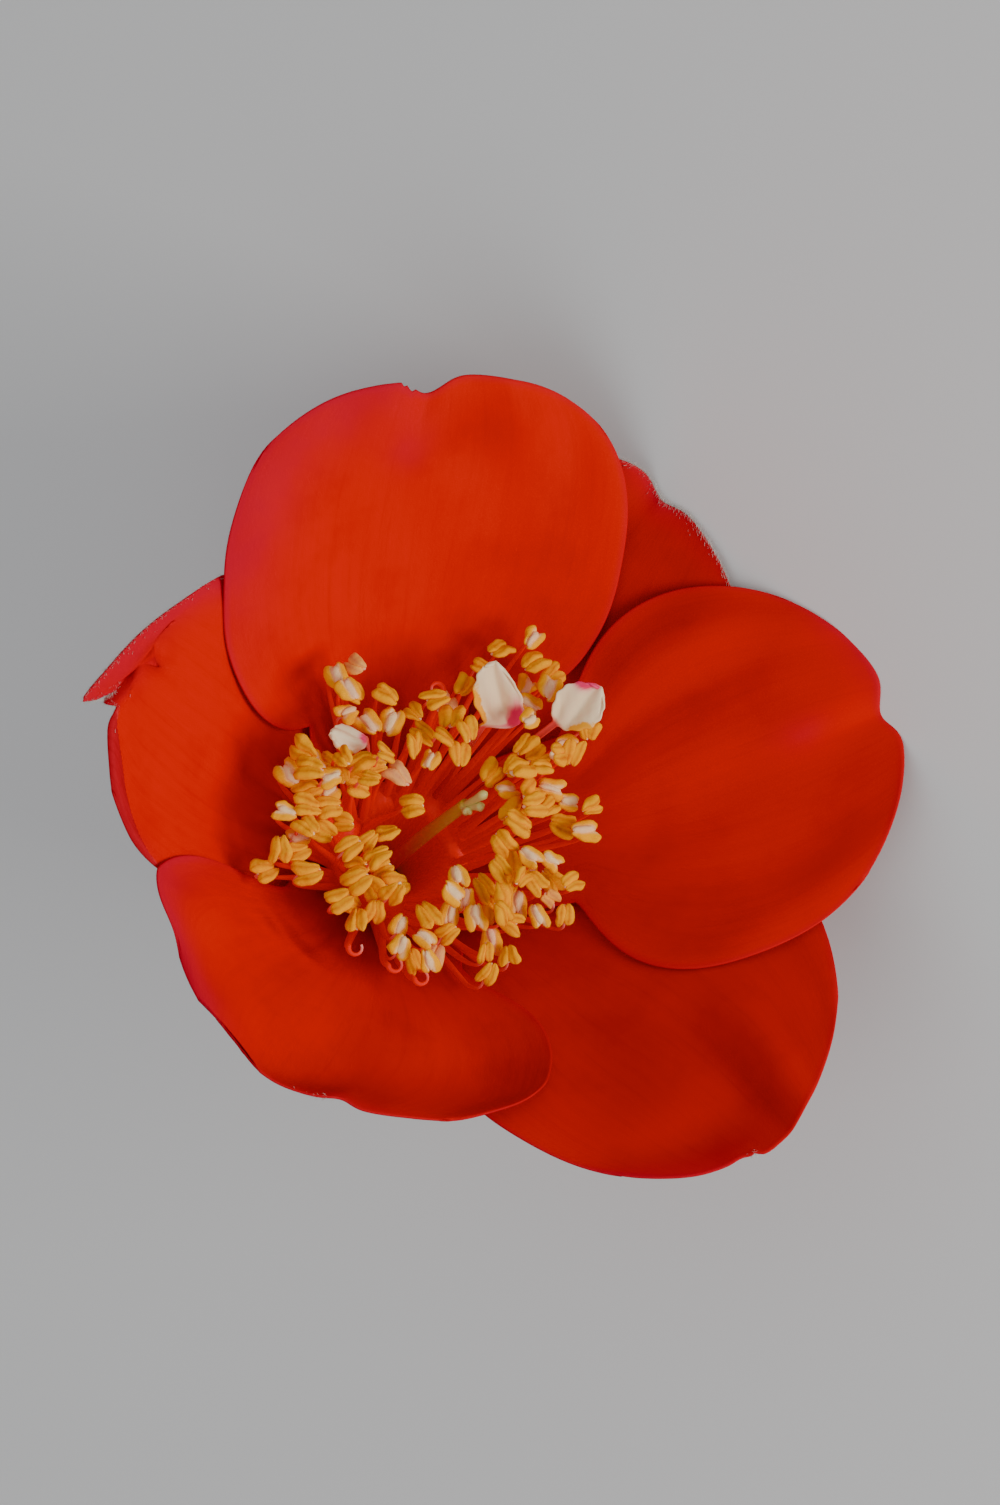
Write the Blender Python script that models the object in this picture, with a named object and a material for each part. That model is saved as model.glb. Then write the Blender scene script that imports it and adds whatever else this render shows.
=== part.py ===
"""Single red camellia flower, picked, lying on its cut stalk and the backs of its petals.

The flower is modelled on its own axis, +Z towards the anthers, with the petals' feet at Z = 0.
An empty then leans it over and sets it down, so that the world's origin is under its middle.
Lengths are in millimetres and angles in degrees until a mesh is made.
"""
from dataclasses import dataclass
from math import cos, pi, radians, sin

import bmesh
import bpy
import numpy as np
from mathutils import Matrix, Vector

MM = 0.001
GAP = 0.3               # clear space between neighbouring pieces

# How the picked flower lies: its axis leans this far from upright, towards this azimuth.
LEAN = 49.7
LEAN_AZIMUTH = 28.8

# The cup that all petals are laid on
FOOT_RADIUS = 6.5       # radius of the outer petals' feet
FOOT_ANGLE = 10.0       # angle between a petal's foot and the axis
BEND_LENGTH = 20.0      # arc length in which a petal bends out to its own opening
CLAW_RADIUS = 13.0      # a petal's claw widens with the cup up to this radius
UNDER_ANGLE = 75.0      # angle of the calyx under the petals' feet
UNDER_LENGTH = 6.0      # arc length in which the calyx turns under
PROFILE_STEPS = 48

PETAL_THICKNESS = 0.6
PETAL_LAYER = 1.3       # inner petals lie this far inside the outer ones
PETAL_ROWS = 12
HOOK_REACH = 9.0        # how far from a split tip's slit its longer side is bent

SCALE_THICKNESS = 0.6
SCALE_SLACK = 0.05      # what the flat faces of neighbouring scales take from the gap
SCALE_PITCH = SCALE_THICKNESS + GAP + SCALE_SLACK
SCALE_COLUMNS = 8
SCALE_ROWS = 8

STALK_RADIUS = 1.9
STALK_END = -14.0
STALK_TAPER = 0.9       # radius of its cut end, as a share
STALK_SIDES = 24
SEAT_HEIGHT = -0.35     # flat top of the receptacle, which petals, stamens and ovary stand on
SEAT_INSET = 0.1        # how far the flat top stays inside the feet
SEAT_EDGE = 0.6         # depth of its rounded edge
RECEPTACLE_WALL = 0.15  # how far the wall under it lies outside the cup's middle
STALK_SHOULDER = 1.2    # height in which the receptacle narrows to the stalk

# Stamen column: a tube of joined filaments whose rim parts into free ones
TUBE_FOOT = SEAT_HEIGHT + GAP
TUBE_RIM = 9.0
TUBE_FOOT_RADII = (3.0, 4.6)
TUBE_RIM_RADII = (3.6, 6.4)
FILAMENT_COLUMNS = 22
FILAMENT_ROWS = 4
FILAMENT_HALF = 0.24
FILAMENT_STEPS = 3
FILAMENT_BEND = (0.35, 0.55)    # where it bends: share of its seat's radius out, of its height up
ANTHER_HALF = (0.95, 0.55)
ANTHER_LENGTH = 2.4
ANTHER_RINGS = ((0.15, 1.0), (0.8, 1.0), (1.0, 0.45))    # place along it, share of its width
HOLLOW_CENTRE = (3.0, 1.0)
HOLLOW_RADIUS = 8.6
RING_CENTRE = (1.2, 1.4)
RING_RADIUS = 16.0
ANTHER_HEIGHTS = (23.0, 25.0, 25.5, 24.0)                # by row, innermost first
ANTHER_JITTER = 0.45
STAMEN_SEED = 5

# Pistil
OVARY_RADIUS = 2.1
OVARY_HEIGHT = 4.0
OVARY_RINGS = ((0.0, 0.85), (0.35, 1.0), (0.75, 0.75))      # share of its height, of its radius
PISTIL_SIDES = 6
STYLE_RADIUS = 0.75
STYLE_BEND = (0.6, 0.3, 8.0)    # from the ovary's top to where the style starts to lean
STYLE_TIP = (4.4, 3.2, 23.0)
STIGMA_LENGTH = 2.6
STIGMA_SPREAD = 40.0
STIGMA_RINGS = ((0.3, 0.8), (0.8, 0.8), (1.0, 0.5))         # share of an arm's length, of its width


@dataclass
class Petal:
    """One petal, as it would lie flat, and where it stands on the cup."""
    azimuth: float              # direction of its midrib
    opening: float              # angle between its blade and the axis
    flare: float                # how much further the blade turns out at its tip
    length: float               # arc length from foot to tip
    half_widths: tuple          # at its widest, anticlockwise side then clockwise side
    widest: float               # where that is, as a share of the length
    claw: tuple                 # half angle of the foot, share of the way up where it ends
    shoulder: float             # 1 is an elliptic shoulder, more is a narrower one
    fullness: float             # 2 is a round tip, more is a squarer one
    sway: float                 # sideways shift of the tip, anticlockwise
    slant: float                # how much longer the anticlockwise side is
    inner: bool = False         # in the inner layer
    notch: tuple = (1.0, 2.0, 0.0)      # depth, width and sideways place
    split: tuple = ()           # a step in the tip: depth, half width, place, hook of its long side
    swells: tuple = ()          # (across, along, spread across, spread along, height inwards)
    columns: int = 12


PETALS = {
    "petal_top": Petal(
        azimuth=103, opening=49.5, flare=2.5, length=53, half_widths=(22, 23), widest=0.72,
        claw=(41, 0.53), shoulder=0.8, fullness=3.0, sway=-8, slant=-0.6, inner=True,
        notch=(1.8, 2.0, 0.0)),
    "petal_back": Petal(
        azimuth=53, opening=56.5, flare=5, length=48, half_widths=(12, 22.5), widest=0.76,
        claw=(42, 0.44), shoulder=1.4, fullness=2.45, sway=0.5, slant=1.8,
        swells=((0.15, 1.0, 0.4, 0.3, -2.4),)),
    "petal_right": Petal(
        azimuth=2.5, opening=53, flare=6.5, length=55.5, half_widths=(19.5, 22.5), widest=0.72,
        claw=(41, 0.57), shoulder=1.15, fullness=2.0, sway=8, slant=-1.1, inner=True,
        notch=(1.5, 2.0, 0.0), swells=((-0.15, 1.0, 0.35, 0.25, -2.2),)),
    "petal_lower_right": Petal(
        azimuth=-44, opening=47.5, flare=7, length=59.5, half_widths=(25, 19), widest=0.68,
        claw=(42, 0.43), shoulder=1.4, fullness=1.7, sway=-6.5, slant=0.3,
        notch=(1.2, 1.2, -2.3)),
    "petal_lower_left": Petal(
        azimuth=-108.5, opening=44, flare=10.5, length=46.5, half_widths=(25, 24), widest=0.84,
        claw=(41, 0.47), shoulder=1.5, fullness=1.6, sway=-8, slant=0.3, inner=True,
        notch=(0.8, 1.5, 6.0)),
    "petal_left": Petal(
        azimuth=160.5, opening=46, flare=-6, length=50, half_widths=(16, 21.5), widest=0.62,
        claw=(42, 0.46), shoulder=1.5, fullness=2.0, sway=-0.5, slant=5,
        notch=(0.0, 2.0, 0.0), split=(6.0, 0.6, -1.3, 7.0), columns=18),
}


@dataclass
class Scale:
    """One scale of the calyx: a bracteole or a sepal."""
    azimuth: float
    half_angle: float           # half of the way round the cup that it covers
    foot: float                 # arc length on the cup, negative under the petals' feet
    shoulder: float
    tip: float
    layer: int                  # 0 lies on the petals, each next one outside it


SCALES = {
    "sepal_inner_1": Scale(20, 47, -5.4, 5.0, 13.0, 0),
    "sepal_inner_2": Scale(140, 47, -5.4, 5.0, 12.5, 0),
    "sepal_inner_3": Scale(260, 47, -5.4, 5.0, 13.5, 0),
    "sepal_outer_1": Scale(85, 52, -5.2, 2.5, 9.5, 1),
    "sepal_outer_2": Scale(235, 52, -5.2, 2.5, 9.0, 1),
    "bracteole_1": Scale(330, 50, -4.8, -0.5, 5.0, 2),
    "bracteole_2": Scale(160, 50, -4.8, -0.5, 4.5, 2),
}


@dataclass
class Petaloid:
    """A stamen that grew into a small petal, on a strap that takes two filaments' place."""
    column: int
    rows: tuple                 # the rows of the rim that it takes
    tip: tuple                  # radius, azimuth and height of the blade's tip
    blade: tuple                # length and half width
    thickness: float = 0.5


PETALOIDS = {
    "petaloid_large": Petaloid(3, (2, 3), (16.5, 57.0, 30.5), (7.5, 2.6)),
    "petaloid_small": Petaloid(2, (2, 3), (20.0, 40.0, 30.0), (5.0, 2.2)),
    "petaloid_slim": Petaloid(8, (1, 2), (12.0, 137.0, 28.0), (4.5, 1.0)),
}
STRAP_HALF = 0.4
BLADE_CUPPING = 0.35    # how far a blade's edges stand up, as a share of its half width
BLADE_POWER = 0.7       # less makes a petaloid's blade blunter
BLADE_LINES = (-1, -0.5, 0, 0.5, 1)

SHARP_ANGLE = 50.0      # an edge sharper than this stays sharp in the shading


def clear_scene():
    for obj in list(bpy.data.objects):
        bpy.data.objects.remove(obj, do_unlink=True)


def material(name, colour, roughness):
    """A plain Principled material."""
    mat = bpy.data.materials.new(name)
    mat.use_nodes = True
    shader = mat.node_tree.nodes["Principled BSDF"]
    shader.inputs["Base Color"].default_value = (*colour, 1.0)
    shader.inputs["Roughness"].default_value = roughness
    shader.inputs["Metallic"].default_value = 0.0
    return mat


def ease(t):
    """0 to 1 with level ends."""
    t = np.clip(t, 0.0, 1.0)
    return t * t * (3.0 - 2.0 * t)


def around(azimuth, field):
    """A petal value at any azimuth, eased from midrib to midrib all round the flower."""
    petals = sorted(PETALS.values(), key=lambda petal: petal.azimuth % 360)
    places = np.array([petal.azimuth % 360 for petal in petals])
    values = np.array([getattr(petal, field) for petal in petals], float)
    places = np.concatenate([[places[-1] - 360], places, [places[0] + 360]])
    values = np.concatenate([[values[-1]], values, [values[0]]])
    turned = np.mod(azimuth, 360)
    i = np.clip(np.searchsorted(places, turned, side="right") - 1, 0, len(places) - 2)
    t = (turned - places[i]) / (places[i + 1] - places[i])
    return values[i] + (values[i + 1] - values[i]) * ease(t)


def cup_angle(s, opening, flare, length):
    """Angle to the axis at arc length s; below the feet the cup turns under."""
    blade = FOOT_ANGLE + (opening - FOOT_ANGLE) * ease(s / BEND_LENGTH)
    blade = blade + flare * np.clip((s - BEND_LENGTH) / (length - BEND_LENGTH), 0, 2) ** 2
    under = FOOT_ANGLE + (UNDER_ANGLE - FOOT_ANGLE) * ease(-s / UNDER_LENGTH)
    return np.radians(np.where(s < 0, under, blade))


def cup_profile(s, opening, flare, length):
    """Radius, height and angle at arc length s, summed in equal steps from the foot."""
    s, opening, flare, length = np.broadcast_arrays(s, opening, flare, length)
    steps = (np.arange(PROFILE_STEPS) + 0.5) / PROFILE_STEPS
    angles = cup_angle(s[..., None] * steps, opening[..., None], flare[..., None], length[..., None])
    radius = FOOT_RADIUS + np.sin(angles).mean(-1) * s
    height = np.cos(angles).mean(-1) * s
    return radius, height, cup_angle(s, opening, flare, length)


def cup_point(s, azimuth, inward):
    """Point on the cup at arc length s, moved along the cup's inner normal."""
    shape = [around(azimuth, field) for field in ("opening", "flare", "length")]
    radius, height, angle = cup_profile(s, *shape)
    radius = radius - np.cos(angle) * inward
    height = height + np.sin(angle) * inward
    turn = np.radians(azimuth)
    return np.stack([radius * np.cos(turn), radius * np.sin(turn), height], -1)


def petal_outline(petal, u, v):
    """The flat petal: u runs from -1 to 1 across it, v from 0 to 1 up it; gives x and y."""
    half = np.where(u > 0, *petal.half_widths)
    claw_angle, claw_end = petal.claw
    waist = petal.widest * petal.length
    low = np.clip(v / petal.widest, 0, 1)
    radius, _, _ = cup_profile(waist * low, petal.opening, petal.flare, petal.length)
    claw_half = radians(claw_angle) * np.minimum(radius, CLAW_RADIUS)
    rise = np.clip((low - claw_end) / (1 - claw_end), 0, 1)
    width = claw_half + (half - claw_half) * (1 - (1 - rise) ** 2) ** petal.shoulder
    t = np.clip((v - petal.widest) / (1 - petal.widest), 0, 1)
    # the tip is a square grid drawn into a disc, and swelled to the petal's fullness
    across = u * np.sqrt(1 - 0.5 * t * t)
    up = t * np.sqrt(1 - 0.5 * u * u)
    reach = np.maximum(np.hypot(across, up), 1e-9)
    power = petal.fullness
    spread = np.abs(across / reach) ** power + np.abs(up / reach) ** power
    swell = 1 + (np.maximum(spread, 1e-9) ** (-1 / power) - 1) * reach ** 2
    swell = np.where(t > 0, swell, 1)
    x = across * swell * width
    y = np.where(v < petal.widest, waist * low, waist + (petal.length - waist) * up * swell)
    rim = ease((v - 0.75) / 0.25)
    depth, spread, place = petal.notch
    y = y - depth * np.exp(-((x - place) / spread) ** 2) * rim
    if petal.split:
        x, y = split_tip(petal, x, y, rim)
    x = x + petal.sway * (y / petal.length) ** 2
    y = y + petal.slant * u * ease((v - 0.4) / 0.6)
    return x, y


def split_tip(petal, x, y, rim):
    """Steps one side of the tip back, and hooks the other side over the slit."""
    depth, half_wall, place, hook = petal.split
    y = y - depth * rim * ease((x - place + half_wall) / (2 * half_wall))
    above = np.clip((y - petal.length) / depth + 1, 0, 1.2)
    return x + hook * above ** 1.5 * (1 - ease((place - x) / HOOK_REACH)), y


def petal_point(petal, u, v):
    """Point of the petal's middle surface, on the cup."""
    x, y = petal_outline(petal, u, v)
    radius, _, _ = cup_profile(y, petal.opening, petal.flare, petal.length)
    azimuth = petal.azimuth + np.degrees(x / radius)
    inward = np.full_like(x, PETAL_LAYER if petal.inner else 0.0)
    for across, along, wide, high, height in petal.swells:
        inward = inward + height * np.exp(-((u - across) / wide) ** 2 - ((v - along) / high) ** 2)
    return cup_point(y, azimuth, inward)


def sheet_mesh(name, points):
    """Mesh of a grid of points, in metres, as an open sheet."""
    rows, columns = points.shape[:2]
    bm = bmesh.new()
    grid = [[bm.verts.new(Vector(p) * MM) for p in row] for row in points]
    for i in range(rows - 1):
        for j in range(columns - 1):
            bm.faces.new((grid[i][j], grid[i][j + 1], grid[i + 1][j + 1], grid[i + 1][j]))
    return finish_mesh(name, bm)


def finish_mesh(name, bm):
    """Mesh data block from a bmesh, with its faces turned outwards and shaded smooth."""
    bmesh.ops.recalc_face_normals(bm, faces=bm.faces)
    mesh = bpy.data.meshes.new(name)
    bm.to_mesh(mesh)
    bm.free()
    mesh.shade_smooth()
    mesh.set_sharp_from_angle(angle=radians(SHARP_ANGLE))
    return mesh


def add_object(name, mesh, mat, parent, thickness=0.0):
    """Named object under the flower's empty; a sheet is thickened on both its sides."""
    obj = bpy.data.objects.new(name, mesh)
    bpy.context.scene.collection.objects.link(obj)
    mesh.materials.append(mat)
    obj.parent = parent
    if thickness:
        solidify = obj.modifiers.new("thickness", "SOLIDIFY")
        solidify.thickness = thickness * MM
        solidify.offset = 0.0
    return obj


def add_petal(name, petal, parent):
    u, v = np.meshgrid(np.linspace(-1, 1, petal.columns + 1), np.linspace(0, 1, PETAL_ROWS + 1))
    mat = material(name, (0.72, 0.012, 0.008), 0.45)
    mesh = sheet_mesh(name, petal_point(petal, u, v))
    return add_object(name, mesh, mat, parent, PETAL_THICKNESS)


def scale_points(scale):
    """Grid of a calyx scale: a wedge under the flower, then a rounded tip up the cup."""
    u, v = np.meshgrid(np.linspace(-1, 1, SCALE_COLUMNS + 1), np.linspace(0, 1, SCALE_ROWS + 1))
    low = np.clip(2 * v, 0, 1)
    t = np.clip(2 * v - 1, 0, 1)
    across = u * np.sqrt(1 - 0.5 * t * t)
    up = t * np.sqrt(1 - 0.5 * u * u)
    s = np.where(v < 0.5, scale.foot + (scale.shoulder - scale.foot) * low,
                 scale.shoulder + (scale.tip - scale.shoulder) * up)
    inward = -((PETAL_THICKNESS - SCALE_THICKNESS) / 2 + (scale.layer + 1) * SCALE_PITCH)
    return cup_point(s, scale.azimuth + scale.half_angle * across, np.full_like(s, inward))


def add_scale(name, scale, parent):
    mat = material(name, (0.20, 0.16, 0.06), 0.7)
    return add_object(name, sheet_mesh(name, scale_points(scale)), mat, parent, SCALE_THICKNESS)


def spin_mesh(bm, profile, sides):
    """Closed ring of faces from a profile of radius and height, turned about the axis."""
    rings = []
    for k in range(sides):
        turn = 2 * pi * k / sides
        rings.append([bm.verts.new(Vector((r * cos(turn), r * sin(turn), z)) * MM)
                      for r, z in profile])
    faces = []
    for k in range(sides):
        here, there = rings[k], rings[(k + 1) % sides]
        faces.append([bm.faces.new((here[i], there[i], there[i + 1], here[i + 1]))
                      for i in range(len(profile) - 1)])
    return rings, faces


def add_receptacle(parent):
    """Receptacle: flat on top, turned under like the calyx, and the cut stub of the stalk."""
    opening, flare, length = (np.mean([getattr(p, f) for p in PETALS.values()])
                              for f in ("opening", "flare", "length"))
    s = np.linspace(-SEAT_EDGE, -UNDER_LENGTH, 8)
    radius, height, angle = cup_profile(s, opening, flare, length)
    under = zip(radius + np.cos(angle) * RECEPTACLE_WALL, height - np.sin(angle) * RECEPTACLE_WALL)
    stalk = [(STALK_RADIUS, height[-1] - STALK_SHOULDER), (STALK_RADIUS * STALK_TAPER, STALK_END)]
    profile = [(FOOT_RADIUS - SEAT_INSET, SEAT_HEIGHT), *under, *stalk]
    bm = bmesh.new()
    rings, _ = spin_mesh(bm, profile, STALK_SIDES)
    bm.faces.new([ring[0] for ring in rings])
    bm.faces.new([ring[-1] for ring in rings])
    mat = material("receptacle", (0.16, 0.20, 0.07), 0.6)
    return add_object("receptacle", finish_mesh("receptacle", bm), mat, parent)


def curve_point(start, bend, end, t):
    """Point of a quadratic curve."""
    return start * (1 - t) ** 2 + bend * 2 * t * (1 - t) + end * t ** 2


def filament_path(seat, tip):
    """Path of a filament: up out of the rim, then over to its tip; gives a function of t."""
    out, up = FILAMENT_BEND
    leave = Vector((seat.x * out, seat.y * out, (tip.z - seat.z) * up))
    return lambda t: curve_point(seat, seat + leave, tip, t)


def anther_tip(row, column, rng):
    """Place of an anther's foot: rows spread from the hollow's edge to the ring's edge."""
    share = row / (FILAMENT_ROWS - 1)
    azimuth = 2 * pi * (column + 0.5 * (row % 2)) / FILAMENT_COLUMNS
    centre = Vector(HOLLOW_CENTRE).lerp(Vector(RING_CENTRE), share)
    radius = HOLLOW_RADIUS + (RING_RADIUS - HOLLOW_RADIUS) * share
    jitter = rng.uniform(-ANTHER_JITTER, ANTHER_JITTER, 3)
    place = Vector((centre.x + radius * cos(azimuth), centre.y + radius * sin(azimuth),
                    ANTHER_HEIGHTS[row]))
    return place + Vector(jitter)


def grow_stamen(bm, face, seat, tip):
    """Extrudes one face of the rim into a filament and its anther."""
    path = filament_path(seat, tip)
    radial = Vector((seat.x, seat.y, 0)).normalized()
    tangent = Vector((-radial.y, radial.x, 0))
    corners = [((v.co / MM - seat).dot(tangent), (v.co / MM - seat).dot(radial)) for v in face.verts]
    signs = [(1 if a > 0 else -1, 1 if b > 0 else -1) for a, b in corners]
    steps = [(path((k + 1) / FILAMENT_STEPS), path((k + 0.9) / FILAMENT_STEPS), (FILAMENT_HALF,) * 2)
             for k in range(FILAMENT_STEPS)]
    aim = (path(1.0) - path(0.8)).normalized()
    for along, share in ANTHER_RINGS:
        place = tip + aim * ANTHER_LENGTH * along
        steps.append((place, place - aim, tuple(h * share for h in ANTHER_HALF)))
    for place, before, (half_across, half_deep) in steps:
        face = bmesh.ops.extrude_discrete_faces(bm, faces=[face])["faces"][0]
        heading = (place - before).normalized()
        deep = (radial - heading * heading.dot(radial)).normalized()
        across = heading.cross(deep)
        across = across if across.dot(tangent) > 0 else -across
        for vert, (a, b) in zip(face.verts, signs):
            vert.co = (place + across * a * half_across + deep * b * half_deep) * MM


def rim_seat(row, column):
    """Middle of one face of the tube's rim."""
    inner, outer = TUBE_RIM_RADII
    radius = inner + (outer - inner) * (row + 0.5) / FILAMENT_ROWS
    turn = 2 * pi * (column + 0.5) / FILAMENT_COLUMNS
    return Vector((radius * cos(turn), radius * sin(turn), TUBE_RIM))


def petaloid_path(petaloid):
    """Path of a petaloid's strap and blade, from just above its place on the rim."""
    seats = [rim_seat(row, petaloid.column) for row in petaloid.rows]
    seat = (seats[0] + seats[-1]) / 2 + Vector((0, 0, GAP))
    radius, azimuth, height = petaloid.tip
    tip = Vector((radius * cos(radians(azimuth)), radius * sin(radians(azimuth)), height))
    return seat, tip, filament_path(seat, tip), 1 - petaloid.blade[0] / (tip - seat).length


def crowded(tip):
    """Whether an anther with its foot at tip would touch a petaloid's blade."""
    middle = tip + (tip - Vector((0, 0, TUBE_RIM))).normalized() * ANTHER_LENGTH / 2
    for petaloid in PETALOIDS.values():
        _, _, path, blade_from = petaloid_path(petaloid)
        room = petaloid.blade[1] + ANTHER_LENGTH / 2 + GAP
        if any((path(t) - middle).length < room for t in np.linspace(blade_from, 1, 5)):
            return True
    return False


def add_stamens(parent):
    """Stamen column: the tube, and a filament with an anther on each face of its rim."""
    rng = np.random.default_rng(STAMEN_SEED)
    rim = np.linspace(*TUBE_RIM_RADII, FILAMENT_ROWS + 1)
    profile = [(TUBE_FOOT_RADII[0], TUBE_FOOT), *((r, TUBE_RIM) for r in rim),
               (TUBE_FOOT_RADII[1], TUBE_FOOT)]
    bm = bmesh.new()
    rings, faces = spin_mesh(bm, profile, FILAMENT_COLUMNS)
    for k, ring in enumerate(rings):
        after = rings[(k + 1) % len(rings)]
        bm.faces.new((ring[0], ring[-1], after[-1], after[0]))
    bmesh.ops.recalc_face_normals(bm, faces=bm.faces)
    taken = {(row, p.column) for p in PETALOIDS.values() for row in p.rows}
    for column in range(FILAMENT_COLUMNS):
        for row in range(FILAMENT_ROWS):
            tip = anther_tip(row, column, rng)
            if (row, column) not in taken and not crowded(tip):
                grow_stamen(bm, faces[column][row + 1], rim_seat(row, column), tip)
    mat = material("stamens", (0.85, 0.42, 0.03), 0.6)
    return add_object("stamens", finish_mesh("stamens", bm), mat, parent)


def add_petaloid(name, petaloid, parent):
    """Petaloid: a strap from the rim with a rounded, cupped blade at its end."""
    seat, tip, path, blade_from = petaloid_path(petaloid)
    blade_half = petaloid.blade[1]
    rows = []
    for t in np.concatenate([np.linspace(0, blade_from, 5), np.linspace(blade_from, 1, 7)[1:]]):
        heading = (path(t + 0.01) - path(t - 0.01)).normalized()
        radial = Vector((seat.x, seat.y, 0)).normalized()
        across = radial.cross(heading).normalized()
        deep = across.cross(heading)
        grown = min(max((t - blade_from) / (1 - blade_from), 0), 1)
        half = STRAP_HALF + (blade_half - STRAP_HALF) * sin(pi * grown ** BLADE_POWER) ** BLADE_POWER
        rows.append([path(t) + across * half * u + deep * half * BLADE_CUPPING * u * u
                     for u in BLADE_LINES])
    mat = material(name, (0.90, 0.62, 0.45), 0.5)
    mesh = sheet_mesh(name, np.array(rows))
    return add_object(name, mesh, mat, parent, petaloid.thickness)


def grow_stigma(bm, face, heading):
    """Extrudes one face of the style's top into a stigma arm."""
    seat = face.calc_center_median() / MM
    corners = [v.co / MM - seat for v in face.verts]
    for along, share in STIGMA_RINGS:
        face = bmesh.ops.extrude_discrete_faces(bm, faces=[face])["faces"][0]
        for vert, corner in zip(face.verts, corners):
            vert.co = (seat + heading * STIGMA_LENGTH * along + corner * share) * MM


def add_pistil(parent):
    """Pistil: ovary, leaning style, and three stigma arms grown from its six-sided top."""
    tip = Vector(STYLE_TIP)
    foot = Vector((0, 0, TUBE_FOOT))
    up = Vector((0, 0, OVARY_HEIGHT))
    rings = [(foot + up * rise, OVARY_RADIUS * share) for rise, share in OVARY_RINGS]
    top = foot + up
    for t in np.linspace(0, 1, 6):
        rings.append((curve_point(top, top + Vector(STYLE_BEND), tip, t), STYLE_RADIUS))
    around_axis = [Vector((cos(turn), sin(turn), 0))
                   for turn in np.arange(PISTIL_SIDES) * 2 * pi / PISTIL_SIDES]
    bm = bmesh.new()
    loops = []
    for centre, radius in rings:
        loops.append([bm.verts.new((centre + side * radius) * MM) for side in around_axis])
    for low, high in zip(loops, loops[1:]):
        for k in range(PISTIL_SIDES):
            after = (k + 1) % PISTIL_SIDES
            bm.faces.new((low[k], low[after], high[after], high[k]))
    bm.faces.new(loops[0][::-1])
    crown = loops[-1]
    middle = bm.verts.new(tip * MM)
    spread = radians(STIGMA_SPREAD)
    for k in range(0, PISTIL_SIDES, 2):
        face = bm.faces.new((crown[k], crown[k + 1], crown[(k + 2) % PISTIL_SIDES], middle))
        heading = around_axis[k + 1] * sin(spread) + Vector((0, 0, cos(spread)))
        grow_stigma(bm, face, heading)
    mat = material("pistil", (0.55, 0.45, 0.08), 0.45)
    return add_object("pistil", finish_mesh("pistil", bm), mat, parent)


def set_down(flower, pieces):
    """Leans the flower, and puts it on the ground with the origin under its box's middle."""
    turn = radians(LEAN_AZIMUTH)
    axis = Vector((-sin(turn), cos(turn), 0))
    lean = Matrix.Rotation(radians(LEAN), 4, axis)
    flower.matrix_world = lean
    bpy.context.view_layer.update()
    depsgraph = bpy.context.evaluated_depsgraph_get()
    places = []
    for obj in pieces:
        mesh = obj.evaluated_get(depsgraph).to_mesh()
        places.extend(lean @ vertex.co for vertex in mesh.vertices)
    low = [min(p[i] for p in places) for i in range(3)]
    high = [max(p[i] for p in places) for i in range(3)]
    shift = Vector((-(low[0] + high[0]) / 2, -(low[1] + high[1]) / 2, -low[2]))
    flower.matrix_world = Matrix.Translation(shift) @ lean


def main():
    clear_scene()
    flower = bpy.data.objects.new("flower", None)
    bpy.context.scene.collection.objects.link(flower)
    pieces = [add_receptacle(flower), add_stamens(flower), add_pistil(flower)]
    pieces += [add_petal(name, petal, flower) for name, petal in PETALS.items()]
    pieces += [add_scale(name, scale, flower) for name, scale in SCALES.items()]
    pieces += [add_petaloid(name, petaloid, flower) for name, petaloid in PETALOIDS.items()]
    set_down(flower, pieces)


main()
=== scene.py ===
"""Looks of a single red camellia, picked and lying on its stalk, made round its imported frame.

Shapes are worked out on the flower's own axis, +Z towards the anthers, with the petals' feet at
Z = 0, in millimetres. They are then leaned over and set down where the frame's pieces lie.
"""

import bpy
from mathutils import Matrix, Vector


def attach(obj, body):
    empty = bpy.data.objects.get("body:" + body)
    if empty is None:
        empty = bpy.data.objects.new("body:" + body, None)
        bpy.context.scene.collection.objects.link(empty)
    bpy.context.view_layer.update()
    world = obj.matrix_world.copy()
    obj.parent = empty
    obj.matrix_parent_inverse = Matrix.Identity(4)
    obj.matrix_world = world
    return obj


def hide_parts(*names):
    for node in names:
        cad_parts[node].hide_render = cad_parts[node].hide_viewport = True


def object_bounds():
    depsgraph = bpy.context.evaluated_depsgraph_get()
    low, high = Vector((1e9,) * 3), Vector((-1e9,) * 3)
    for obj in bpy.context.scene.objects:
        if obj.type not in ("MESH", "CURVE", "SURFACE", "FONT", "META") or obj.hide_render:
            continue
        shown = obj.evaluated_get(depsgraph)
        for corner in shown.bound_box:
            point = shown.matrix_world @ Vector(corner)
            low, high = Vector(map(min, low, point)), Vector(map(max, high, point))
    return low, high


bl_info = {
    "name": "Camellia flower",
    "version": (1, 0, 0),
    "blender": (4, 5, 0),
    "location": "View3D > Sidebar > Camellia",
    "description": "Petals, stamens, pistil, calyx and hairs of a red camellia, round its frame",
    "category": "Add Mesh",
}

from dataclasses import dataclass
from math import cos, pi, radians, sin

import bmesh
import bpy
import numpy as np
from bpy.props import FloatProperty, FloatVectorProperty, IntProperty, PointerProperty
from mathutils import Matrix, Vector

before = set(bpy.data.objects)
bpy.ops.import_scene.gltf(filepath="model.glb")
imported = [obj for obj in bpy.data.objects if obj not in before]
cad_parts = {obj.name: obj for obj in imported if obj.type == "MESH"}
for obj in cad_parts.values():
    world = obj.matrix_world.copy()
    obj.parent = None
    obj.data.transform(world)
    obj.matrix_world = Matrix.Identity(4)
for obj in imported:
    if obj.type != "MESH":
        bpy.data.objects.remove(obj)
CAD_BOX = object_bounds()

MM = 0.001
BODY = "root"

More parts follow.
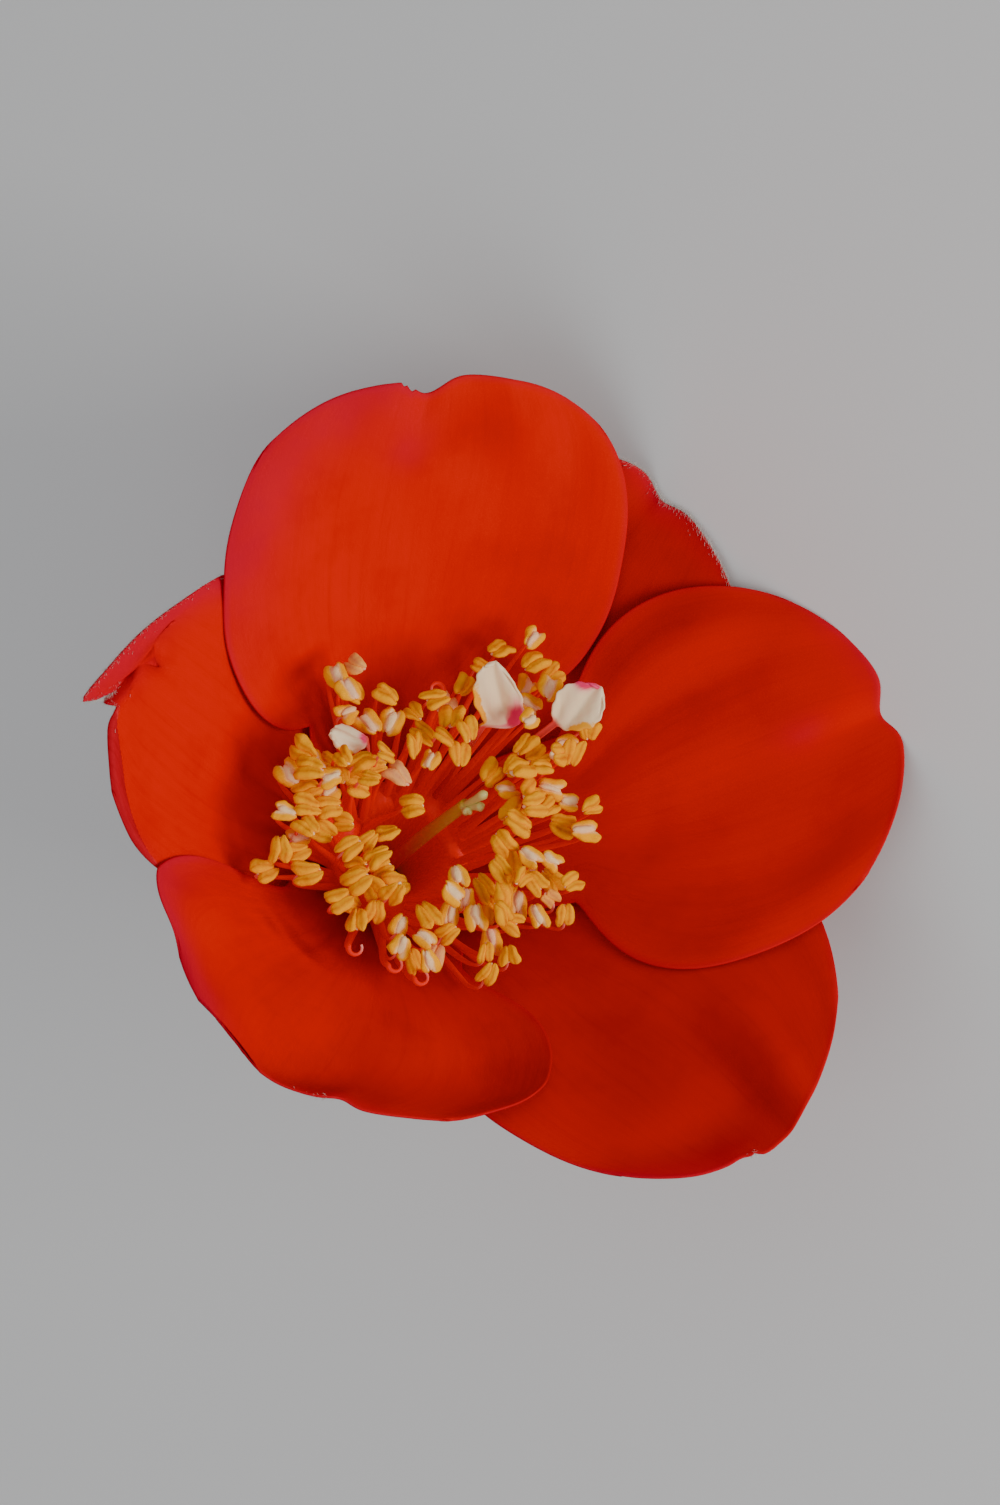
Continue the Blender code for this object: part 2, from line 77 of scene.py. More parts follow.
# How the picked flower lies, and the cup that its petals are laid on
LEAN = 49.7             # angle of the flower's axis from upright
LEAN_AZIMUTH = 28.8
FOOT_RADIUS = 6.5       # radius and angle of the cup at the petals' feet
FOOT_ANGLE = 10.0
BEND_LENGTH = 20.0      # arc length in which a petal bends out to its own opening
CLAW_RADIUS = 13.0      # a petal's claw widens with the cup up to this radius
UNDER_ANGLE = 75.0      # the calyx turns under to this angle, in this arc length
UNDER_LENGTH = 6.0
PROFILE_STEPS = 32
PETAL_LAYER = 1.3       # inner petals lie this far inside the outer ones
SLIT_HALF = 0.9         # a split tip: half width of its slit, and how far each side is bent
BENT_SIDES = (9.0, 14.0)
FOLD_WIDTH = 4.2        # a folded margin: its width and height
FOLD_HEIGHT = 0.45
PETAL_THINS = 4.0       # a petal, and a scale, thins out over this width of its margin
SCALE_THINS = 3.0
SCALE_PITCH = 0.95      # from one layer of the calyx to the next
SCALE_RIM = 0.14        # a scale's thickness at its margin, and how much thicker its middle is
SCALE_KEEL = 0.4
PETALOID_RIM = 0.22     # the same for a petaloid
PETALOID_KEEL = 0.16
PETAL_HAIRS = 55e6      # hairs on a square metre where the fur is full, and how far they stand up
PETAL_STAND = 0.55
SCALE_HAIRS = 6.5e6
SCALE_STAND = 0.22
STALK_RADIUS = 1.9
STALK_END = -14.0
RIBBED_BELOW = -6.0     # the stalk's faint ribs start at this height
SEAT_HEIGHT = -0.35     # flat top of the receptacle

# Stamens
TUBE_FOOT = -0.05
TUBE_RIM = 9.0          # rim of the frame's tube, with its radii, rows and columns of filaments
TUBE_RADII = (3.6, 6.4)
TUBE_SEATS = (4, 22)
WALL_RIM = 12.5         # mean height of the visible tube's rim
STRAP_HALF = 0.28       # half width of a petaloid's strap
THREAD_FOOT = 5.5       # height at which filaments part from the tube's wall
HOLLOW_CENTRE = (3.0, 1.0)
HOLLOW_RADIUS = 5.6
RING_HEIGHT = 26.0      # height of the ring of anthers
TUFT_HALF_HEIGHT = 1.3  # how far a group's anthers lie above or below its middle
ANTHER_ROOM = 2.3       # anthers closer than this are pushed apart, this many times
PUSHES = 140
BLADE_ROOM = 1.1        # how far they are pushed clear of the petaloids' blades
STYLE_TIP = (4.6, 2.4, 22.6)
STIGMA_ARMS = ((14, 26, 3.4), (-30, 50, 2.3), (-92, 78, 1.3))   # azimuth, spread, reach
ARMS_FROM = 0.72        # where the arms start, as a share of the pistil's colours
PETAL_CLEAR = 2.2       # filaments stay this far inside the cup, clear of the inner petals
FILAMENT_GLOW = 0.08    # stands in for the light that filters through petals and filaments
HOOKS = ((84, 13.4), (240, 15.2), (256, 15.2), (266, 16.0))  # bare, curled filaments: azimuth, reach
CURL_RADIUS = 0.65
ANTHER_LUMPS = 0.9      # how far the anthers' surfaces are pushed about, at most half of this

# The camera looks down the flower's axis, tilted this far off it, towards this side
VIEW_TILT = 20.7
VIEW_AZIMUTH = 48.2
VIEW_DISTANCE = 500.0
VIEW_SHIFT = (6.96, 6.39)
VIEW_LENS = 122.0
FLOOR_HALF = 1.5        # half the floor's width, in metres
WARM_LIGHT = (1.0, 0.98, 0.95)
COOL_LIGHT = (0.93, 0.96, 1.0)
SKY_LIGHT = (0.92, 0.95, 1.0, 1.0)


# ---------------------------------------------------------------------------------------------
# Tables of the flower's pieces. Across runs from -1 to 1 over a piece's width, and along from 0 at
# its foot to 1 at its tip.


@dataclass
class Petal:
    """One petal: its flat outline, its place on the cup, and the marks on its surface."""
    node: str
    azimuth: float          # direction of its midrib
    opening: float          # angle between its blade and the axis
    flare: float            # how much further the blade turns out at its tip
    length: float
    half_widths: tuple      # at its widest, anticlockwise side first
    widest: float           # where that is, as a share of the length
    claw: tuple             # half angle of the foot, share of the way up where it ends
    shoulder: float         # less is squarer
    fullness: float         # 2 is a round tip, more is squarer
    sway: float             # sideways shift of the tip
    slant: float            # how much longer the anticlockwise side is
    inner: bool = False
    dents: tuple = ()       # in the tip: depth (less than 0 bulges), half width, place, start
    split: tuple = ()       # step in the tip: depth, half width, place, hook, slit beside it
    folded: tuple = ()      # where the margin is folded over: across, along, spreads, strength
    swells: tuple = ()      # relief: across, along, spread across, spread along, height inwards
    curl: tuple = (0, 0, 0)     # how far the margin rolls inwards: anticlockwise, tip, clockwise
    roll: float = 2.5       # width of the rolled margin
    crimson_and_sheen: tuple = ()       # crimson patches, partly painted sheen and highlights: across, along, spread across, spread along, strength
    painted_shade: tuple = ()       # painted shade where the petal turns from the light, in hollows and creases: across, along, spread across, spread along, strength
    fringe: tuple = ()      # hairy stretches of margin: across, spread, strength


PETALS = {
    "top_petal": Petal(
        "petal_top", azimuth=103, opening=49.5, flare=2.5, length=53, half_widths=(21.2, 23),
        widest=0.72, claw=(41, 0.53), shoulder=0.7, fullness=3.0, sway=-8, slant=-0.6, inner=True,
        dents=((1.8, 2.0, 0.0, 0.75), (0.6, 0.3, 1.9, 0.93), (0.4, 0.25, 2.7, 0.93)),
        swells=((0.0, 1.0, 0.07, 0.07, -0.4), (-0.28, 0.88, 0.14, 0.07, -0.6),
                (0.25, 0.9, 0.16, 0.1, 0.5), (-0.72, 0.9, 0.12, 0.12, -0.5),
                (-0.5, 0.95, 0.1, 0.1, 0.35), (0.0, 0.62, 0.35, 0.22, -0.5)),
        curl=(-1.0, -0.3, -0.95), roll=3.0,
        crimson_and_sheen=((0.95, 0.84, 0.3, 0.2, 0.9), (0.45, 1.0, 0.4, 0.12, 0.7), (0.05, 0.88, 0.12, 0.06, 0.5)),
        painted_shade=((-0.3, 0.9, 0.2, 0.07, 0.5), (-0.75, 0.6, 0.3, 0.3, 0.35))),
    "back_petal": Petal(
        "petal_back", azimuth=53, opening=56.5, flare=5, length=48, half_widths=(12, 22.5),
        widest=0.76, claw=(42, 0.44), shoulder=1.4, fullness=2.45, sway=0.5, slant=1.8,
        dents=((1.0, 2.0, 0.0, 0.75),),
        swells=((0.15, 1.0, 0.4, 0.3, -2.4),), curl=(0, 0.25, 0), roll=1.2,
        crimson_and_sheen=((0.2, 1.0, 0.8, 0.04, 0.6),), painted_shade=((0.0, 0.7, 1.2, 0.6, 0.5),),
        fringe=((0.0, 0.8, 2.6),)),
    "right_petal": Petal(
        "petal_right", azimuth=2.5, opening=53, flare=6.5, length=55.5, half_widths=(19.5, 22.5),
        widest=0.72, claw=(41, 0.57), shoulder=1.15, fullness=2.0, sway=8, slant=-1.1, inner=True,
        dents=((1.5, 2.0, 0.0, 0.75),),
        swells=((-0.15, 1.0, 0.35, 0.25, -2.2), (0.0, 1.0, 0.07, 0.08, -0.3),
                (0.1, 0.84, 0.14, 0.1, 0.8), (0.5, 0.66, 0.1, 0.25, -0.5), (0.75, 0.66, 0.12, 0.2, 0.6),
                (-0.55, 0.8, 0.18, 0.16, -0.6), (0.2, 0.6, 0.15, 0.2, 0.4)),
        curl=(-0.6, -0.4, -0.7), roll=3.0,
        crimson_and_sheen=((0.06, 0.84, 0.09, 0.06, 0.55), (0.5, 1.0, 0.4, 0.05, 0.5)),
        painted_shade=((0.85, 0.72, 0.13, 0.22, 0.55), (0.5, 0.6, 0.2, 0.2, 0.25), (-0.2, 0.94, 0.12, 0.1, 0.35),
               (-0.85, 0.68, 0.13, 0.09, 0.5), (0.3, 0.9, 0.6, 0.2, 0.15))),
    "lower_right_petal": Petal(
        "petal_lower_right", azimuth=-44, opening=47.5, flare=7, length=59.5, half_widths=(25, 19),
        widest=0.68, claw=(42, 0.43), shoulder=1.4, fullness=1.7, sway=-6.5, slant=0.3,
        dents=((0.6, 1.3, -2.3, 0.75), (0.4, 0.3, -1.2, 0.93), (0.5, 2.5, -4.0, 0.93)),
        swells=((0.16, 0.82, 0.07, 0.16, -0.7), (0.34, 0.84, 0.1, 0.15, 0.8),
                (-0.25, 0.9, 0.35, 0.07, -0.7), (-0.2, 0.6, 0.3, 0.15, -0.6), (0.7, 0.8, 0.15, 0.2, -0.4)),
        curl=(-0.3, 0.4, 0.2),
        crimson_and_sheen=((-0.7, 0.98, 0.5, 0.05, 0.6),),
        painted_shade=((0.14, 0.84, 0.08, 0.14, 0.5), (-0.2, 0.95, 0.5, 0.05, 0.4), (0.0, 0.9, 1.0, 0.3, 0.22)),
        fringe=((-0.09, 0.04, 0.8),)),
    "lower_left_petal": Petal(
        "petal_lower_left", azimuth=-108.5, opening=44, flare=10.5, length=46.5, half_widths=(25, 23.2),
        widest=0.84, claw=(49, 0.47), shoulder=1.5, fullness=1.6, sway=-8, slant=0.3, inner=True,
        dents=((0.8, 1.5, 6.0, 0.75), (-1.4, 5.5, -6.5, 0.93), (2.0, 4.5, -16.5, 0.55)),
        swells=((0.02, 0.93, 0.2, 0.06, -1.1), (0.75, 0.82, 0.2, 0.12, -0.6),
                (-0.2, 0.72, 0.2, 0.14, 0.5), (0.35, 0.7, 0.2, 0.14, 0.3), (-0.9, 0.78, 0.14, 0.2, -0.4),
                (-0.4, 0.51, 0.22, 0.014, -0.22), (-0.55, 0.56, 0.16, 0.02, 0.15)),
        curl=(0.4, 0.8, -0.7), roll=3.0,
        crimson_and_sheen=((-1.0, 0.88, 0.17, 0.2, 1.0), (-0.65, 1.0, 0.3, 0.09, 0.9), (0.3, 1.0, 0.4, 0.03, 0.4)),
        painted_shade=((0.1, 0.97, 0.35, 0.09, 0.7), (0.55, 0.9, 0.3, 0.12, 0.85), (0.95, 0.8, 0.3, 0.16, 0.8),
               (-0.45, 0.5, 0.25, 0.02, 1.0), (-0.6, 0.56, 0.1, 0.02, 0.7), (-0.95, 0.62, 0.15, 0.06, 0.4)),
        fringe=((0.24, 0.05, 0.9),)),
    "left_petal": Petal(
        "petal_left", azimuth=160.5, opening=46, flare=-6, length=50, half_widths=(17.0, 21.5),
        widest=0.62, claw=(50, 0.46), shoulder=1.5, fullness=2.0, sway=-0.5, slant=5,
        dents=((2.6, 5.0, -9.5, 0.75), (-3.4, 2.6, -3.4, 0.93), (0.6, 6.0, 11.0, 0.55)),
        split=(4.6, 0.5, -3.4, 10.0, 2.2),
        folded=((1.0, 0.98, 0.46, 0.15, 1.0),),
        swells=((-0.14, 1.0, 0.06, 0.2, -1.0), (-0.3, 1.0, 0.25, 0.12, -0.8), (0.6, 0.85, 0.25, 0.2, -0.5)),
        curl=(-0.3, 0.4, -0.8), roll=1.6,
        crimson_and_sheen=((-0.5, 1.0, 0.5, 0.12, 1.0), (-1.0, 0.8, 0.3, 0.25, 0.8), (1.0, 0.92, 0.12, 0.16, 0.8)),
        painted_shade=((-0.3, 0.92, 0.12, 0.05, 0.4), (-0.25, 1.0, 0.35, 0.12, 0.25)),
        fringe=((-0.35, 0.35, 1.6),)),
}


@dataclass
class Scale:
    """One scale of the calyx, as in the frame."""
    node: str
    azimuth: float
    half_angle: float
    foot: float             # arc lengths on the cup, from the petals' feet
    shoulder: float
    tip: float
    layer: int              # 0 lies on the petals


SCALES = {
    "inner_sepal_a": Scale("sepal_inner_1", 20, 47, -5.4, 5.0, 13.0, 0),
    "inner_sepal_b": Scale("sepal_inner_2", 140, 47, -5.4, 5.0, 12.5, 0),
    "inner_sepal_c": Scale("sepal_inner_3", 260, 47, -5.4, 5.0, 13.5, 0),
    "outer_sepal_a": Scale("sepal_outer_1", 85, 52, -5.2, 2.5, 9.5, 1),
    "outer_sepal_b": Scale("sepal_outer_2", 235, 52, -5.2, 2.5, 9.0, 1),
    "lower_bracteole": Scale("bracteole_1", 330, 50, -4.8, -0.5, 5.0, 2),
    "upper_bracteole": Scale("bracteole_2", 160, 50, -4.8, -0.5, 4.5, 2),
}


@dataclass
class Tuft:
    """A group of stamens whose anthers crowd together."""
    azimuth: float
    radius: float
    spread: float           # how far the anthers lie from the group's middle; 0 keeps them there
    count: int
    rise: float = 0.0       # above the ring of anthers


TUFTS = {
    "upper left": Tuft(142, 10.2, 3.3, 16, 0.4),
    "top left": Tuft(115, 13.3, 2.6, 7),
    "top inner": Tuft(76, 9.6, 2.9, 11, 0.2),
    "top far": Tuft(59, 18.9, 2.3, 6),
    "right top": Tuft(37, 16.0, 2.8, 9),
    "right inner": Tuft(17, 10.3, 2.9, 10, 0.2),
    "right far": Tuft(3, 14.4, 2.6, 5, -0.4),
    "lower right": Tuft(-31, 12.8, 3.2, 14),
    "low inner": Tuft(-60, 9.2, 2.8, 11, 0.4),
    "low far": Tuft(-64, 15.6, 2.2, 4, -0.6),
    "low left far": Tuft(-93, 12.4, 2.6, 8, -0.4),
    "left inner": Tuft(217, 6.8, 2.4, 8, 0.3),
    "left low": Tuft(234, 11.0, 2.5, 6, -0.4),
    "left far": Tuft(194, 14.0, 2.2, 5, -0.8),
    "left": Tuft(172, 11.0, 2.8, 8),
    "lone": Tuft(127, 2.0, 0.0, 1, -1.5),
}


@dataclass
class Petaloid:
    """A stamen grown into a small petal."""
    node: str
    column: int                 # where it stands on the rim of the frame's tube
    rows: tuple
    tip: tuple                  # radius, azimuth and height of the blade's tip
    blade: tuple                # length and half width
    streak: tuple               # where the colour lies: across, along, spreads
    pollen: tuple = ()          # where its edge still bears pollen: across, along, spread
    sway: float = 0.0           # how far its top leans sideways
    aside: tuple = (0.0, 0.0, 0.0)  # how its blade is carried aside, and bent over along its length
    bow: tuple = (0.0, 0.0, 0.0)
    face: tuple = ()            # the way its face looks, if not straight out


PETALOIDS = {
    "broad_petaloid": Petaloid("petaloid_large", 3, (2, 3), (16.6, 59.5, 29.9), (7.2, 2.6),
                               (0.85, 0.35, 0.32, 0.3), (-1.0, 0.35, 0.35), -4.2,
                               (0.0, 0.0, 0.0), (0.0, 0.0, 0.0), (-0.3, -0.3, -0.9)),
    "short_petaloid": Petaloid("petaloid_small", 2, (2, 3), (21.2, 36.8, 30.0), (5.0, 2.2),
                               (-0.9, 0.9, 0.6, 0.2), (1.0, 0.35, 0.25)),
    "slim_petaloid": Petaloid("petaloid_slim", 8, (1, 2), (12.0, 137.0, 28.0), (4.6, 1.5),
                              (0.0, 0.05, 0.8, 0.2), (1.0, 0.6, 0.3), 0.0,
                              (1.1, 1.0, 2.6), (-2.4, -1.5, -2.9), (0.24, 0.26, 0.93)),
}


# ---------------------------------------------------------------------------------------------
# Sizes and colours that a user may change


def colour(name, about, *default):
    return FloatVectorProperty(name=name, description=about, subtype="COLOR", default=default)


def size(name, about, default, precision=5):
    return FloatProperty(name=name, description=about, default=default, unit="LENGTH",
                         precision=precision)


class PetalLooks(bpy.types.PropertyGroup):
    """Sizes and colours of the petals."""
    thickness: size("Thickness", "Thickness of a petal's middle", 0.00050)
    margin: size("Margin", "Thickness at a petal's margin", 0.00022)
    ripple: size("Ripple", "Height of the soft waves in all petals", 0.00022)
    veins: size("Veins", "Height of the veins", 0.00002)
    columns: IntProperty(name="Columns", description="Faces across a petal", default=112)
    rows: IntProperty(name="Rows", description="Faces up a petal", default=104)
    scarlet: colour("Scarlet", "Colour of the blade", 0.70, 0.004, 0.0005)
    # Deep red colours the veins and streaks, and also paints the shade deep in the cup and in its hollows
    deep: colour("Deep red", "Colour in veins and hollows", 0.30, 0.001, 0.0005)
    # Crimson is the margins' own colour and also paints their sheen and the petals' highlight patches
    crimson_and_sheen: colour("Crimson", "Colour of margins and flushes", 0.58, 0.004, 0.024)
    back: colour("Back", "Colour of a petal's outer face", 0.50, 0.006, 0.016)
    foot: colour("Foot", "Colour of a petal's foot", 0.66, 0.26, 0.16)


class StamenLooks(bpy.types.PropertyGroup):
    """Sizes and colours of the stamens."""
    filament: size("Filament", "Radius of a filament at its foot", 0.00042)
    neck: size("Neck", "Radius of a filament at its anther", 0.00013)
    anther: size("Anther", "Length of an anther", 0.0027)
    seed: IntProperty(name="Seed", description="Chooses the places of the stamens", default=11)
    red: colour("Filament red", "Colour of the filaments", 0.85, 0.016, 0.004)
    pink: colour("Neck pink", "Colour under the anthers", 0.92, 0.30, 0.24)
    gold: colour("Pollen gold", "Colour of the pollen", 1.0, 0.41, 0.0)
    amber: colour("Amber", "Colour in the anthers' grooves", 0.66, 0.17, 0.0)
    cream: colour("Cream", "Colour of the anthers' backs", 1.0, 0.66, 0.34)


class SmallPartLooks(bpy.types.PropertyGroup):
    """Sizes and colours of the pistil, petaloids, calyx, stalk and hairs."""
    style: colour("Style", "Colour of the style", 0.62, 0.36, 0.03)
    stigma: colour("Stigma", "Colour of the stigmas", 0.74, 0.66, 0.20)
    blade: colour("Petaloid", "Colour of the petaloids", 1.0, 0.76, 0.46)
    magenta: colour("Magenta", "Colour of the petaloids' streaks", 0.86, 0.02, 0.13)
    sepal: colour("Sepal", "Colour of the calyx", 0.17, 0.17, 0.045)
    husk: colour("Husk", "Colour of the calyx's dry margins", 0.085, 0.035, 0.012)
    stalk: colour("Stalk", "Colour of the stalk", 0.15, 0.19, 0.05)
    cut: colour("Cut", "Colour of the stalk's cut end", 0.62, 0.60, 0.32)
    hair: colour("Hair", "Colour of the silky hairs", 0.66, 0.58, 0.50)
    hair_length: size("Hair length", "Length of a silky hair", 0.0006)
    hair_radius: size("Hair radius", "Radius of a hair at its root", 0.000022, 6)


class StageLooks(bpy.types.PropertyGroup):
    """The floor and the lights."""
    floor: colour("Floor", "Colour of the floor", 0.78, 0.77, 0.75)
    key: FloatProperty(name="Key light", description="Power of the main light", default=2.15,
                       unit="POWER")
    fill: FloatProperty(name="Fill light", description="Power of the soft light on the other side",
                        default=0.8, unit="POWER")
    sky: FloatProperty(name="Sky", description="Brightness of the surroundings", default=0.42)


class CamelliaLooks(bpy.types.PropertyGroup):
    """Everything a user may change."""
    petals: PointerProperty(type=PetalLooks)
    stamens: PointerProperty(type=StamenLooks)
    small: PointerProperty(type=SmallPartLooks)
    stage: PointerProperty(type=StageLooks)


# ---------------------------------------------------------------------------------------------
# The flower's place, and the cup that its petals are laid on


def flower_place():
    """Matrix from the flower's own axes to where it lies, from the cut end of its stalk."""
    turn = radians(LEAN_AZIMUTH)
    lean = Matrix.Rotation(radians(LEAN), 4, Vector((-sin(turn), cos(turn), 0)))
    up = lean.to_3x3() @ Vector((0, 0, 1))
    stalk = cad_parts["receptacle"].data
    corners = [Vector(c) for c in {v.co.to_tuple(6) for v in stalk.vertices}]
    lowest = min(c.dot(up) for c in corners)
    end = [c for c in corners if c.dot(up) < lowest + 0.05 * MM]
    middle = sum(end, Vector()) / len(end)
    return Matrix.Translation(middle - up * STALK_END * MM) @ lean


PLACE = flower_place()
TURN = np.array(PLACE.to_3x3())
SHIFT = np.array(PLACE.translation)


def lie_down(points):
    """Points of the flower in millimetres, leaned over, in metres, and kept in the frame's box."""
    placed = np.asarray(points) @ TURN.T * MM + SHIFT
    return np.clip(placed, *np.array(CAD_BOX))


def ease(t):
    """0 to 1 with level ends."""
    t = np.clip(t, 0.0, 1.0)
    return t * t * (3.0 - 2.0 * t)


def unit(vectors):
    """Vectors made 1 long."""
    return vectors / np.maximum(np.linalg.norm(vectors, axis=-1, keepdims=True), 1e-9)


def round_axis(radius, turn, height):
    """Points at a radius, a turn in radians and a height."""
    return np.stack(np.broadcast_arrays(radius * np.cos(turn), radius * np.sin(turn), height), -1)


def polar(radius, azimuth, height):
    return round_axis(radius, np.radians(azimuth), height)


def bell(t):
    """1 at 0, falling to nothing on both sides."""
    return np.exp(-t * t)


def around(azimuth, name):
    """A petal value at any azimuth, eased from midrib to midrib all round the flower."""
    petals = sorted(PETALS.values(), key=lambda petal: petal.azimuth % 360)
    places = np.array([petal.azimuth % 360 for petal in petals])
    values = np.array([getattr(petal, name) for petal in petals], float)
    places = np.concatenate([[places[-1] - 360], places, [places[0] + 360]])
    values = np.concatenate([[values[-1]], values, [values[0]]])
    turned = np.mod(azimuth, 360)
    i = np.clip(np.searchsorted(places, turned, side="right") - 1, 0, len(places) - 2)
    t = (turned - places[i]) / (places[i + 1] - places[i])
    return values[i] + (values[i + 1] - values[i]) * ease(t)


def cup_angle(s, opening, flare, length):
    """Angle to the axis at arc length s; below the feet the cup turns under."""
    blade = FOOT_ANGLE + (opening - FOOT_ANGLE) * ease(s / BEND_LENGTH)
    blade = blade + flare * np.clip((s - BEND_LENGTH) / (length - BEND_LENGTH), 0, 2) ** 2
    under = FOOT_ANGLE + (UNDER_ANGLE - FOOT_ANGLE) * ease(-s / UNDER_LENGTH)
    return np.radians(np.where(s < 0, under, blade))


def cup_profile(s, opening, flare, length):
    """Radius, height and angle at arc length s, summed in equal steps from the foot."""
    s, opening, flare, length = np.broadcast_arrays(s, opening, flare, length)
    steps = (np.arange(PROFILE_STEPS) + 0.5) / PROFILE_STEPS
    angles = cup_angle(s[..., None] * steps, opening[..., None], flare[..., None], length[..., None])
    radius = FOOT_RADIUS + np.sin(angles).mean(-1) * s
    height = np.cos(angles).mean(-1) * s
    return radius, height, cup_angle(s, opening, flare, length)


def cup_at(s, azimuth):
    """Radius, height and angle of the cup at arc length s and any azimuth."""
    return cup_profile(s, *[around(azimuth, name) for name in ("opening", "flare", "length")])


def cup_point(s, azimuth, inward):
    """Point on the cup at arc length s, moved along the cup's inner normal."""
    radius, height, angle = cup_at(s, azimuth)
    radius = radius - np.cos(angle) * inward
    height = height + np.sin(angle) * inward
    return polar(radius, azimuth, height)


def split_tip(petal, x, y, rim):
    """Steps one side of the tip back, cuts a slit beside the step and bends the slit aside."""
    step, half_wall, place, hook, slit = petal.split
    y = y - step * rim * ease((x - place + half_wall) / (2 * half_wall))
    y = y - slit * rim * bell((x - place - half_wall) / SLIT_HALF)
    above = np.clip((y - petal.length + step + slit) / (step + slit + 1.5), 0, 1)
    long_side, short_side = BENT_SIDES
    near = 1 - ease(np.where(x < place, (place - x) / long_side, (x - place) / short_side))
    return x + hook * above ** 0.6 * near, y


def petal_outline(petal, u, v):
    """The flat petal: u runs from -1 to 1 across it, v from 0 to 1 up it; gives x and y."""
    half = np.where(u > 0, *petal.half_widths)
    claw_angle, claw_end = petal.claw
    waist = petal.widest * petal.length
    low = np.clip(v / petal.widest, 0, 1)
    radius, _, _ = cup_profile(waist * low, petal.opening, petal.flare, petal.length)
    claw_half = radians(claw_angle) * np.minimum(radius, CLAW_RADIUS)
    rise = np.clip((low - claw_end) / (1 - claw_end), 0, 1)
    width = claw_half + (half - claw_half) * (1 - (1 - rise) ** 2) ** petal.shoulder
    t = np.clip((v - petal.widest) / (1 - petal.widest), 0, 1)
    across = u * np.sqrt(1 - 0.5 * t * t)
    up = t * np.sqrt(1 - 0.5 * u * u)
    reach = np.maximum(np.hypot(across, up), 1e-9)
    power = petal.fullness
    spread = np.abs(across / reach) ** power + np.abs(up / reach) ** power
    swell = 1 + (np.maximum(spread, 1e-9) ** (-1 / power) - 1) * reach ** 2
    swell = np.where(t > 0, swell, 1)
    x = across * swell * width
    y = np.where(v < petal.widest, waist * low, waist + (petal.length - waist) * up * swell)
    for depth, spread, place, start in petal.dents:
        y = y - depth * bell((x - place) / spread) * ease((v - start) / (1 - start))
    if petal.split:
        x, y = split_tip(petal, x, y, ease((v - 0.75) / 0.25))
    x = x + petal.sway * (y / petal.length) ** 2
    y = y + petal.slant * u * ease((v - 0.4) / 0.6)
    return x, y


def margin_distance(x, y):
    """How far each point of a flat grid is from its sides and tip."""
    rim = np.concatenate([np.stack([x[:, 0], y[:, 0]], -1), np.stack([x[-1], y[-1]], -1),
                          np.stack([x[::-1, -1], y[::-1, -1]], -1)])
    flat = np.stack([x, y], -1)
    return np.linalg.norm(flat[:, :, None] - rim[None, None], axis=-1).min(-1)


def patches(marks, u, v):
    """Sum of soft patches: across, along, spread across, spread along, strength."""
    total = np.zeros_like(u)
    for across, along, wide, high, strength in marks:
        total = total + strength * bell((u - across) / wide) * bell((v - along) / high)
    return total


def cup_ripple(s, azimuth):
    """Soft waves that all layers of petals share, so that they still nest."""
    turn = np.radians(azimuth)
    waves = (np.sin(5 * turn + 0.10 * s + 0.4) + 0.8 * np.sin(8 * turn - 0.13 * s + 2.1)
             + 0.6 * np.sin(13 * turn + 0.21 * s + 4.0) + 0.4 * np.sin(21 * turn - 0.3 * s + 1.0))
    return waves * ease((s - 12) / 30)


def vein_field(u, v, width):
    """Veins that fan out with the petal and fork twice on the way to its margin."""
    wobble = 0.012 * np.sin(9 * v + 7 * u) + 0.008 * np.sin(23 * v - 5 * u)
    total = np.zeros_like(u)
    for count, start, end in ((11, -0.1, 0.62), (22, 0.42, 0.86), (44, 0.68, 1.3)):
        phase = (u + wobble) * count / 2
        gap = np.abs(phase - np.round(phase)) * 2 / count * width
        strength = ease((v - start) / 0.2) * (1 - ease((v - end) / 0.12))
        total = np.maximum(total, strength * bell(gap / 0.45))
    return total


# ---------------------------------------------------------------------------------------------
# Meshes


def grid_normals(points):
    """Unit normals of a grid, on the side that faces the flower's axis."""
    return unit(np.cross(np.gradient(points, axis=0), np.gradient(points, axis=1)))


def add_layer(mesh, name, values):
    """Stores a number or a vector at each vertex."""
    values = np.asarray(values, np.float32)
    kind, key = ("FLOAT", "value") if values.ndim == 1 else ("FLOAT_VECTOR", "vector")
    layer = mesh.attributes.new(name, kind, "POINT")
    layer.data.foreach_set(key, values.ravel())


def add_uv(mesh, values):
    """Stores each vertex's place on its sheet as the UV map."""
    corners = np.empty(len(mesh.loops), np.int32)
    mesh.loops.foreach_get("vertex_index", corners)
    layer = mesh.uv_layers.new(name="sheet")
    layer.data.foreach_set("uv", np.asarray(values, np.float32)[corners].ravel())


def make_mesh(name, points, faces=(), edges=(), **layers):
    """Mesh with its faces turned outwards and smooth, and numbers or vectors stored at its points."""
    mesh = bpy.data.meshes.new(name)
    mesh.from_pydata(np.asarray(points).tolist(), edges, faces)
    if len(faces):
        bm = bmesh.new()
        bm.from_mesh(mesh)
        bmesh.ops.recalc_face_normals(bm, faces=bm.faces)
        bm.to_mesh(mesh)
        bm.free()
        mesh.shade_smooth()
    for key, values in layers.items():
        add_layer(mesh, key, values)
    return mesh


def link(name, data):
    """Object at the origin in the scene."""
    obj = bpy.data.objects.new(name, data)
    bpy.context.scene.collection.objects.link(obj)
    return obj


def add_piece(name, mesh, finish=None):
    """Object at the origin for a mesh whose place is in its points."""
    if finish:
        mesh.materials.append(finish)
    return link(name, mesh)


